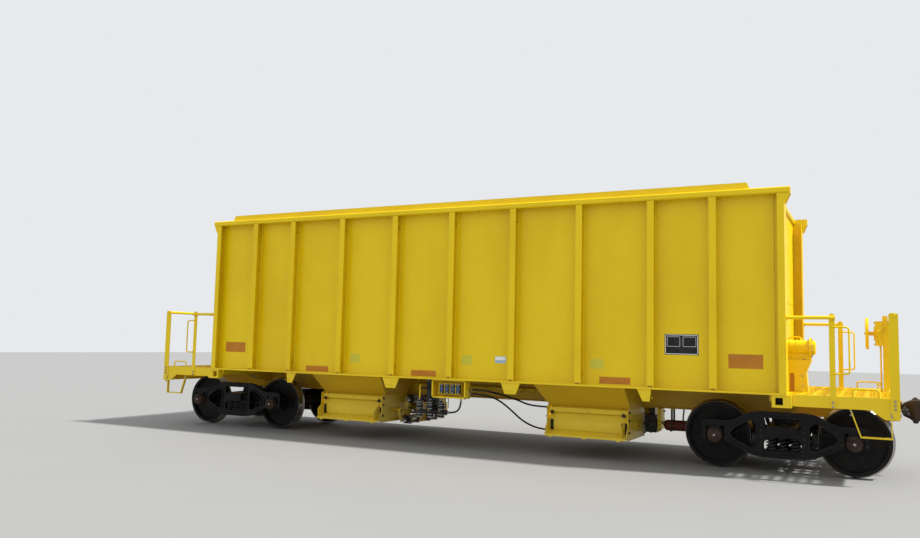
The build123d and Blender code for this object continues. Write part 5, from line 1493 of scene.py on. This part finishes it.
def addCornerGear(bolts, plates, settings, end, side):
    out = (0, side, 0)

    def place(x, y, z):
        return (end * x, side * y, z)

    for x, count in settings["postBolts"]:
        for k in range(count):
            z = settings["postBoltZ"] + settings["postBoltPitch"] * k
            addBolt(bolts, place(x, settings["postBoltY"], z), out, 0.026)
    # collars round the grab rods and the hand rail where they meet the posts, and the foot rods'
    for x, y, z, bore, outside, facets in settings["collars"]:
        addCollar(plates, place(x, y, z), (end, 0, 0), bore, outside, facets)
    for x in settings["footCollars"]:
        foot = place(x, settings["footCollarY"], deckZ)
        addCollar(plates, foot, (0, 0, 1), 0.0125, [(0, 0.024), (0.005, 0.023)], 14)
    # the sill step's bolts on the channel, gussets behind it
    for x, dz in settings["stepBolts"]:
        for rise in (0, dz):
            addBolt(bolts, place(x, settings["stepBoltY"], settings["stepBoltZ"] + rise), out, 0.022)
    for across in settings["gussets"]:
        corner = [(x, z) for x in across for z in settings["gussetZ"]]
        addHull(plates, [place(x, y, z) for y in settings["gussetY"] for x, z in corner])
    # tread lip on the sill step, cap on the outer post
    addBlock(plates, *[place(*corner) for corner in settings["tread"]], 0.001)
    cap = [(0.0, 0.034), (0.013, 0.034), (0.016, 0.030)]
    addTurned(plates, place(*settings["postCap"]), out, cap, 20)


def makeRailingGear(settings):
    bolts = bmesh.new()
    plates = bmesh.new()
    for end in ends:
        for side in sides:
            addCornerGear(bolts, plates, settings, end, side)
        # bolts of the drop rungs' feet
        for rung in range(settings["rungs"]):
            z = settings["firstRung"] + rung * settings["rungPitch"]
            for y in settings["rungEnds"]:
                for dz in settings["rungBolts"]:
                    addBolt(bolts, (end * settings["rungFace"], -end * y, z + dz), (end, 0, 0), 0.020)
        # end sill: bolt row and the stiffened edge of the coupler's opening
        x, z = end * settings["sillFace"], settings["sillBoltZ"]
        for y in settings["sillBoltsY"]:
            for side in sides:
                addBolt(bolts, (x, side * y, z), (end, 0, 0), 0.028)
        for side in sides:
            edge = [(end * x, side * y, z) for x, y, z in settings["openingEdge"]]
            addBlock(plates, *edge, 0.002)
    makePiece("railing_bolts", bolts, finish["brightBolt"])
    makePiece("railing_plates", plates, paint["trim"])


makeRailingGear(railingSettings)


# Hand brake: ratchet cover, wheel nut, release handle, chain rod's eye and its bracket on the deck

handBrakeSettings = {
    "y": 0.56,
    "z": 1.966,
    "back": 6.03,
    "coverX": 6.022,
    "coverBolts": 0.092,
    "hubX": 5.915,
    "nutX": 5.903,
    "rimX": 5.916,
    "rimRadius": 0.220,
    "rimBar": 0.015,
    "releaseX": 6.08,
    "releaseLean": 24,
    "rodX": 6.065,
    "eyeZ": 1.22,
    "bracketX": 6.165,
    "bracketBolts": (0.024, 0.0646),
}


def makeHandBrake(settings):
    plates = bmesh.new()
    bolts = bmesh.new()
    y, z, back = settings["y"], settings["z"], settings["back"]
    inward = (-1, 0, 0)
    addTurned(plates, (back, y, z), inward, [(0, 0.110), (0.008, 0.110), (0.012, 0.104), (0.018, 0.060)], 36)
    addTurned(plates, (settings["hubX"], y, z), inward, [(0, 0.052), (0.010, 0.048), (0.012, 0.036)], 24)
    addTurned(bolts, (settings["nutX"], y, z), inward, [(0, 0.020), (0.014, 0.020), (0.017, 0.016)], 6)
    reach = settings["coverBolts"]
    for c, s in around(8, 22.5):
        addBolt(bolts, (settings["coverX"], y + reach * c, z + reach * s), inward, 0.014, stud=False)
    for dy in (-0.11, 0.11):
        for dz in (-0.16, 0.16):
            addBolt(bolts, (back, y + dy, z + dz), inward, 0.020)
    # release handle beside the housing
    x = settings["releaseX"]
    addBlock(plates, (x - 0.03, y - 0.150, z - 0.05), (x + 0.03, y - 0.128, z + 0.05), 0.006)
    lever = Matrix.Rotation(math.radians(settings["releaseLean"]), 3, "X")
    addBlock(plates, (x - 0.008, y - 0.162, z - 0.20), (x + 0.008, y - 0.150, z + 0.02), 0.003, lever)
    knob = [(0, 0.018), (0.012, 0.018), (0.015, 0.014)]
    addTurned(plates, (x, y - 0.165, z + 0.02), (0, -1, 0), knob, 16)
    # rounded rim of the wheel
    bar = settings["rimBar"]
    rim = [(settings["rimX"] + bar * c, settings["rimRadius"] + bar * s) for c, s in around(10)]
    addTurned(plates, (0, y, z), (1, 0, 0), rim, 56, hollow=True)
    # eye at the foot of the chain rod, bolted bracket on the deck below it
    rodX, x = settings["rodX"], settings["bracketX"]
    addCollar(plates, (rodX, y - 0.02, settings["eyeZ"]), (0, 1, 0), 0.014, [(0, 0.030), (0.04, 0.030)], 18)
    addTurned(plates, (rodX, y, deckZ), (0, 0, 1), [(0, 0.045), (0.008, 0.043)], 20)
    dx, dy = settings["bracketBolts"]
    for way in (-1, 1):
        for other in (-1, 1):
            addBolt(bolts, (x + way * dx, y + other * dy, deckZ + 0.001), (0, 0, 1), 0.018)
    addBlock(plates, (x - 0.05, y - 0.095, deckZ), (x + 0.05, y + 0.095, deckZ + 0.010), 0.003)
    makePiece("hand_brake_gear", plates, paint["trim"])
    makePiece("hand_brake_bolts", bolts, finish["brightBolt"])


makeHandBrake(handBrakeSettings)


# Brake cylinder: flange bolts, bands, pedestal slots in painted shade, its pipe
# pipe: x, distance beside the cylinder's middle, z

brakeCylinderSettings = {
    "y": -0.70,
    "z": 1.734,
    "flangeBolts": 0.119,
    "flangeX": (5.2098, 5.2405),
    "headX": 5.279,
    "head": [(0, 0.098), (0.010, 0.085), (0.014, 0.050), (0.014, 0.0)],
    "bands": (5.04, 4.955),
    "footBoltsX": (4.94, 5.14),
    "footBoltsY": (-0.08, 0.08),
    "footBoltsZ": 1.562,
    "wallHalf": 0.1095,
    "slotX": 4.987,
    "slotRadius": 0.030,
    "slotEnds": (1.352, 1.150),
    "weld": (4.905, 5.19),
    "sideBolts": [(4.925, 1.20), (4.925, 1.36), (5.12, 1.20), (5.12, 1.34)],
    "pipe": [(5.10, 0.06, 1.82), (5.10, 0.09, 1.86), (5.07, 0.14, 1.88), (4.98, 0.17, 1.88),
             (4.90, 0.18, 1.86), (4.885, 0.18, 1.80), (4.885, 0.18, 1.50), (4.885, 0.18, 1.13)],
}


def makeBrakeCylinder(settings):
    plates = bmesh.new()
    bolts = bmesh.new()
    slot = bmesh.new()
    y, z, reach = settings["y"], settings["z"], settings["flangeBolts"]
    near, far = settings["flangeX"]
    for c, s in around(10, 18):
        addBolt(bolts, (far, y + reach * c, z + reach * s), (1, 0, 0), 0.018)
        addBolt(bolts, (near, y + reach * c, z + reach * s), (-1, 0, 0), 0.018, stud=False)
    addTurned(plates, (settings["headX"], y, z), (1, 0, 0), settings["head"], 32)
    for x in settings["bands"]:
        addCollar(plates, (x, y, z), (1, 0, 0), 0.1005, [(0, 0.108), (0.014, 0.108)], 36)
    for dy in settings["footBoltsY"]:
        for x in settings["footBoltsX"]:
            addBolt(bolts, (x, y + dy, settings["footBoltsZ"]), (0, 0, 1), 0.020)
    for side in sides:
        wall = y + side * settings["wallHalf"]
        for x, h in settings["sideBolts"]:
            addBolt(bolts, (x, wall + side * 0.0003, h), (0, side, 0), 0.018)
        # an access slot with rounded ends: a flat deep orange plate, painted shade for the slot's hollow
        outline = []
        for way, middle in zip((1, -1), settings["slotEnds"]):
            x, radius = settings["slotX"], way * settings["slotRadius"]
            outline += [(x + radius * c, wall, middle + radius * s) for c, s in around(16)[:9]]
        addPlate(slot, outline, (0, side * 0.002, 0))
        weld = [(x, wall + side * 0.001, deckZ + 0.0005) for x in settings["weld"]]
        addBead(plates, *weld, 0.008, (0, side, 0), (0, 0, 1))
    makePiece("brake_cylinder_rings", plates, paint["trim"])
    makePiece("brake_cylinder_bolts", bolts, finish["brightBolt"])
    makePiece("pedestal_slot_shade", slot, finish["paintedShadeOrange"])
    makePipe("brake_pipe", [(x, y + dy, z) for x, dy, z in settings["pipe"]], 0.011, paint["trim"])


makeBrakeCylinder(brakeCylinderSettings)


# Couplers: knuckle, pin, ribs, striker bolts, carrier, lift links, pipe ends with their angle cocks
# link: x beyond the rod, y, z

couplerSettings = {
    "faceX": 6.620,
    "z": 0.902,
    "strikerX": 6.310,
    "nose": [(-0.055, 0.150), (-0.010, 0.118), (-0.004, 0.060), (-0.030, 0.052), (-0.062, 0.020),
             (-0.085, 0.060), (-0.095, 0.150)],
    "noseHalf": 0.115,
    "pin": (-0.105, 0.118),
    # ribs on the head's side: heights, x and y from and to
    "ribs": (-0.07, 0.0, 0.07),
    "ribX": (-0.24, -0.12),
    "ribY": (-0.095, -0.165),
    "lockTube": (-0.11, -0.02, -0.1395),
    "strikerBoltY": 0.128,
    "strikerBolts": (-0.095, 0.0, 0.095),
    # carrier plate: x and distance below the shank from and to
    "carrier": [(6.255, 0.122), (6.318, 0.110)],
    "carrierHalf": 0.150,
    "rodX": 6.330,
    "linkEye": (0.115, 0.986),
    "link": [(0, 0.13, 0.965), (0.02, 0.125, 0.93), (0.09, 0.10, 0.80), (0.15, 0.05, 0.745),
             (0.180, -0.02, 0.735)],
    "pipeX": (5.60, 5.90, 6.20, 6.33),
    "cockX": 6.325,
    "cockY": 0.34,
    "cockZ": 0.90,
}


def makeCoupler(settings, end, letter):
    iron = bmesh.new()
    bolts = bmesh.new()
    z = settings["z"]

    def at(x, y, h):
        return Vector((end * (settings["faceX"] + x), end * y, z + h))

    # knuckle nose with its shelf, standing proud of the head
    half = settings["noseHalf"]
    addPlate(iron, [at(a, b, -half) for a, b in settings["nose"]], (0, 0, 2 * half))
    for way in (-1, 1):
        spot = at(*settings["pin"], -way * 0.139)
        tip = at(*settings["pin"], -way * 0.1525)
        addTurned(iron, spot, (0, 0, -way), [(0, 0.042), (0.012, 0.040), (0.014, 0.030)], 22)
        addTurned(bolts, tip, (0, 0, -way), [(0, 0.022), (0.010, 0.022), (0.016, 0.012), (0.016, 0)], 16)
    # ribs on the head's sides and the lock lifter's tube below
    (back, front), (inner, outer) = settings["ribX"], settings["ribY"]
    for h in settings["ribs"]:
        addBlock(iron, at(back, inner, h - 0.006), at(front, outer, h + 0.006), 0.004)
    tube = [(0, 0.040), (0.03, 0.036), (0.045, 0.022), (0.045, 0)]
    addTurned(iron, at(*settings["lockTube"]), (0, 0, -1), tube, 18)
    makePiece("coupler_knuckle_" + letter, iron, finish["couplerBrown"])
    # striker face with bolts, carrier plate under the shank
    for side in sides:
        y = side * settings["strikerBoltY"]
        for h in settings["strikerBolts"]:
            addBolt(bolts, (end * settings["strikerX"], y, z + h), (end, 0, 0), 0.026)
    makePiece("coupler_bolts_" + letter, bolts, finish["darkBolt"])
    plates = bmesh.new()
    (x0, below0), (x1, below1) = settings["carrier"]
    half = settings["carrierHalf"]
    addBlock(plates, (end * x0, -half, z - below0), (end * x1, half, z - below1), 0.003)
    # lift link from the uncoupling rod down to the lock
    rodX, (y, h) = settings["rodX"], settings["linkEye"]
    addCollar(plates, (end * rodX, end * y, h), (0, end, 0), 0.0145, [(0, 0.024), (0.03, 0.024)], 16)
    makePiece("coupler_carrier_" + letter, plates, paint["trim"])
    link = [(end * (rodX + dx), end * y, h) for dx, y, h in settings["link"]]
    makePipe("lift_link_" + letter, link, 0.009, paint["trim"])
    # brake pipe end with its angle cock beside the coupler
    x, y, z = settings["cockX"], -end * settings["cockY"], settings["cockZ"]
    pipe = [(end * along, y, z) for along in settings["pipeX"]]
    makePipe("brake_pipe_end_" + letter, pipe, 0.021, paint["under"])
    cock = bmesh.new()
    addTurned(cock, (end * x, y, z), (end, 0, 0),
              [(0, 0.032), (0.02, 0.034), (0.05, 0.040), (0.08, 0.034), (0.085, 0.028)], 18)
    addTurned(cock, (end * (x + 0.047), y, z), (end * 0.55, 0, -0.84),
              [(0.02, 0.030), (0.055, 0.030), (0.058, 0.026), (0.070, 0.026)], 18)
    key = (end * (x + 0.040), y, z + 0.03)
    addTurned(cock, key, (0, 0, 1), [(0, 0.016), (0.02, 0.016), (0.024, 0.012)], 12)
    addBlock(cock, (end * (x + 0.030), y - 0.008, z + 0.053), (end * (x + 0.050), y + 0.11, z + 0.061), 0.003)
    makePiece("angle_cock_" + letter, cock, finish["blackEnamel"])


for end, letter in ((-1, "a"), (1, "b")):
    makeCoupler(couplerSettings, end, letter)


# Jack blocks: near-black plates behind their holes, painted shade for the holes' dark insides

def makeJackHoleShade():
    mesh = bmesh.new()
    for end in ends:
        for side in sides:
            x = end * 4.890
            addBlock(mesh, (x - 0.047, side * 1.521, 0.973), (x + 0.047, side * 1.524, 1.067), 0.001)
    makePiece("jack_hole_shade", mesh, finish["holeShadeBlack"])


makeJackHoleShade()
print("stage: ends")


# Below the centre sill: a small air tank in red primer on its yellow hanger

tankSettings = {
    "y": -0.19,
    "z": 0.492,
    "from": 3.075,
    "to": 3.645,
    "radius": 0.082,
    "strapWidth": 0.030,
    "hangerFrom": 2.994,
    "hangerTo": 3.056,
}


def makeTank(settings):
    red = bmesh.new()
    straps = bmesh.new()
    yellow = bmesh.new()
    y, z, r = settings["y"], settings["z"], settings["radius"]
    start, stop, wide = settings["from"], settings["to"], settings["strapWidth"]
    length = stop - start
    half = length / 2
    dome = [(0, 0), (0.004, r * 0.45), (0.014, r * 0.72), (0.030, r * 0.92), (0.050, r)]
    welds = [(0.056, r + 0.0015), (0.062, r), (half - 0.008, r), (half, r + 0.0025), (half + 0.008, r),
             (length - 0.062, r), (length - 0.056, r + 0.0015)]
    addTurned(red, (start, y, z), (1, 0, 0), dome + welds + [(length - a, b) for a, b in reversed(dome)], 36)
    addTurned(red, (start + 0.10, y, z - r + 0.002), (0, 0, -1),
              [(0, 0.016), (0.016, 0.016), (0.018, 0.012)], 8)
    # straps round the tank, hung from bars across the sill's underside
    for x in (start + 0.12, stop - 0.14):
        addCollar(straps, (x, y, z), (1, 0, 0), r, [(0, r + 0.005), (wide, r + 0.005)], 36)
        addBlock(yellow, (x - 0.004, y - r - 0.014, sillFoot - 0.012),
                 (x + wide + 0.004, -0.03, sillFoot - 0.001), 0.002)
        for side in sides:
            addBlock(straps, (x, y + side * (r - 0.004), z + 0.02),
                     (x + wide, y + side * (r + 0.006), sillFoot), 0.002)
            addBolt(straps, (x + wide / 2, y + side * (r + 0.006), z + 0.05), (0, side, 0), 0.016)
    # hanger plate with its web and its foot on the sill
    low, high = settings["hangerFrom"], settings["hangerTo"]
    face = y - 0.105
    addBlock(yellow, (low, face, z - 0.09), (high, face + 0.010, sillFoot), 0.003)
    addBlock(yellow, (low, face + 0.004, z - 0.09), (low + 0.008, y + 0.06, z + 0.10), 0.002)
    addBlock(yellow, (low, face, sillFoot - 0.010), (high, -0.04, sillFoot - 0.001), 0.002)
    for step in (-0.06, 0.0, 0.06):
        addBolt(straps, ((low + high) / 2, face, z + step), (0, -1, 0), 0.016)
    makePiece("air_tank", red, finish["primerRed"])
    makePiece("air_tank_straps", straps, finish["darkBolt"])
    makePiece("air_tank_hanger", yellow, paint["under"])
    feed = [(-0.075, -0.03, 0.058), (-0.03, -0.02, 0.05), (-0.02, 0, 0.01), (0.01, 0, 0)]
    riser = [(0, r - 0.01), (0, 0.16), (0.05, 0.20), (0.06, 0.23), (0.06, sillFoot - z)]
    makePipe("air_tank_feed", [(start + a, y + b, z + c) for a, b, c in feed], 0.012, finish["primerRed"])
    makePipe("air_tank_riser", [(start + 0.29, y + b, z + c) for b, c in riser], 0.012, finish["primerRed"])


makeTank(tankSettings)


# Hoses: a swivel nut and a plated sleeve where each one meets its port

sleeveSettings = {
    "bore": 0.0143,
    # distance from the hose's tip, outside with its last ring at the bore, facets
    "parts": [
        (0.001, [(0, 0.0205), (0.018, 0.0205), (0.019, 0.0143)], 6),
        (0.020, [(0, 0.0180), (0.030, 0.0175), (0.032, 0.0143)], 18),
    ],
    "bothEnds": ("hose_supply",),
}


def makeHoseGear(settings):
    plated = bmesh.new()
    bore = (0, settings["bore"])
    for name, route in hoseRoutes.items():
        points = [Vector(p) for p in route["points"]]
        tips = [(points[-1], points[-2])]
        if name in settings["bothEnds"]:
            tips.append((points[0], points[1]))
        for tip, after in tips:
            way = (after - tip).normalized()
            for start, outside, facets in settings["parts"]:
                addTurned(plated, tip + way * start, way, [bore, *outside], facets, hollow=True)
    makePiece("hose_sleeves", plated, finish["platedSteel"])


makeHoseGear(sleeveSettings)


# Two pull handles with red ends on the side sheet away from the cabinet, each a bar on two stands

handleSettings = {
    "z": 1.420,
    "half": 0.29,
    "stand": 0.055,
    "standShare": 0.55,
    "places": [-0.52, 0.56],
}


def makeHandles(settings):
    bars = bmesh.new()
    grips = bmesh.new()
    z, half, stand = settings["z"], settings["half"], settings["stand"]
    y = sheetY + stand
    for x in settings["places"]:
        addRod(grips, (x - half, y, z), (x + half, y, z), 0.010, 12)
        for way in (-1, 1):
            tip = x + way * half
            foot = x + way * half * settings["standShare"]
            addBlock(grips, (tip - 0.055, y - 0.014, z - 0.024), (tip + 0.055, y + 0.014, z + 0.024), 0.008)
            addTurned(bars, (foot, sheetY + 0.001, z), (0, 1, 0),
                      [(0, 0.030), (0.006, 0.030), (0.008, 0.012), (stand, 0.012)], 18)
            for h in (-0.02, 0.02):
                addTurned(bars, (foot, sheetY + 0.007, z + h), (0, 1, 0),
                          [(0, 0.005), (0.004, 0.005), (0.005, 0.003)], 8)
        # an eye below the bar's middle
        addCollar(bars, (x - 0.005, y, z - 0.022), (1, 0, 0), 0.008, [(0, 0.014), (0.010, 0.014)], 16)
    makePiece("handle_bars", bars, finish["platedSteel"])
    makePiece("handle_grips", grips, finish["gripRed"])


makeHandles(handleSettings)
print("stage: rods and hoses")


# Studio: pale floor, soft world light, one broad lamp from the hand-brake end and behind

studioSettings = {
    "floor": (0.25, 0.245, 0.235),
    "floorHalf": 60,
    "world": (0.90, 0.95, 1.0),
    "worldStrength": 1.1,
    "mirrored": (0.34, 0.36, 0.37),
    "seen": (0.80, 0.82, 0.84),
    "sunTurn": (38, 0, 100),
    "sunStrength": 5.7,
    "sunAngle": 3,
}


def makeFloor(settings):
    half = settings["floorHalf"]
    mesh = bpy.data.meshes.new("floor")
    corners = [(-half, -half, 0), (half, -half, 0), (half, half, 0), (-half, half, 0)]
    mesh.from_pydata(corners, [], [(0, 1, 2, 3)])
    material, tree, shader = newMaterial("floorPale")
    shader.inputs["Roughness"].default_value = 0.9
    paler = tuple(0.97 * c for c in settings["floor"])
    tint = ramp(tree, noiseAt(tree, 0.4), (0.3, settings["floor"]), (0.7, paler))
    tree.links.new(tint, shader.inputs["Base Color"])
    mesh.materials.append(material)
    placeObject("floor", mesh)


def makeLight(settings):
    world = bpy.data.worlds.new("studio")
    bpy.context.scene.world = world
    world.use_nodes = True
    tree = world.node_tree
    lit = tree.nodes["Background"]
    lit.inputs["Color"].default_value = (*settings["world"], 1)
    lit.inputs["Strength"].default_value = settings["worldStrength"]
    ray = tree.nodes.new("ShaderNodeLightPath")
    chosen = lit.outputs["Background"]
    for kind, colour in (("Is Glossy Ray", "mirrored"), ("Is Camera Ray", "seen")):
        other = tree.nodes.new("ShaderNodeBackground")
        other.inputs["Color"].default_value = (*settings[colour], 1)
        choose = tree.nodes.new("ShaderNodeMixShader")
        tree.links.new(ray.outputs[kind], choose.inputs["Fac"])
        tree.links.new(chosen, choose.inputs[1])
        tree.links.new(other.outputs["Background"], choose.inputs[2])
        chosen = choose.outputs["Shader"]
    tree.links.new(chosen, tree.nodes["World Output"].inputs["Surface"])
    lamp = bpy.data.lights.new("broadLamp", "SUN")
    lamp.energy = settings["sunStrength"]
    lamp.angle = math.radians(settings["sunAngle"])
    placeObject("broadLamp", lamp).rotation_euler = [math.radians(a) for a in settings["sunTurn"]]
    bpy.context.scene.view_settings.view_transform = "Standard"


makeFloor(studioSettings)
makeLight(studioSettings)
print("stage: studio")
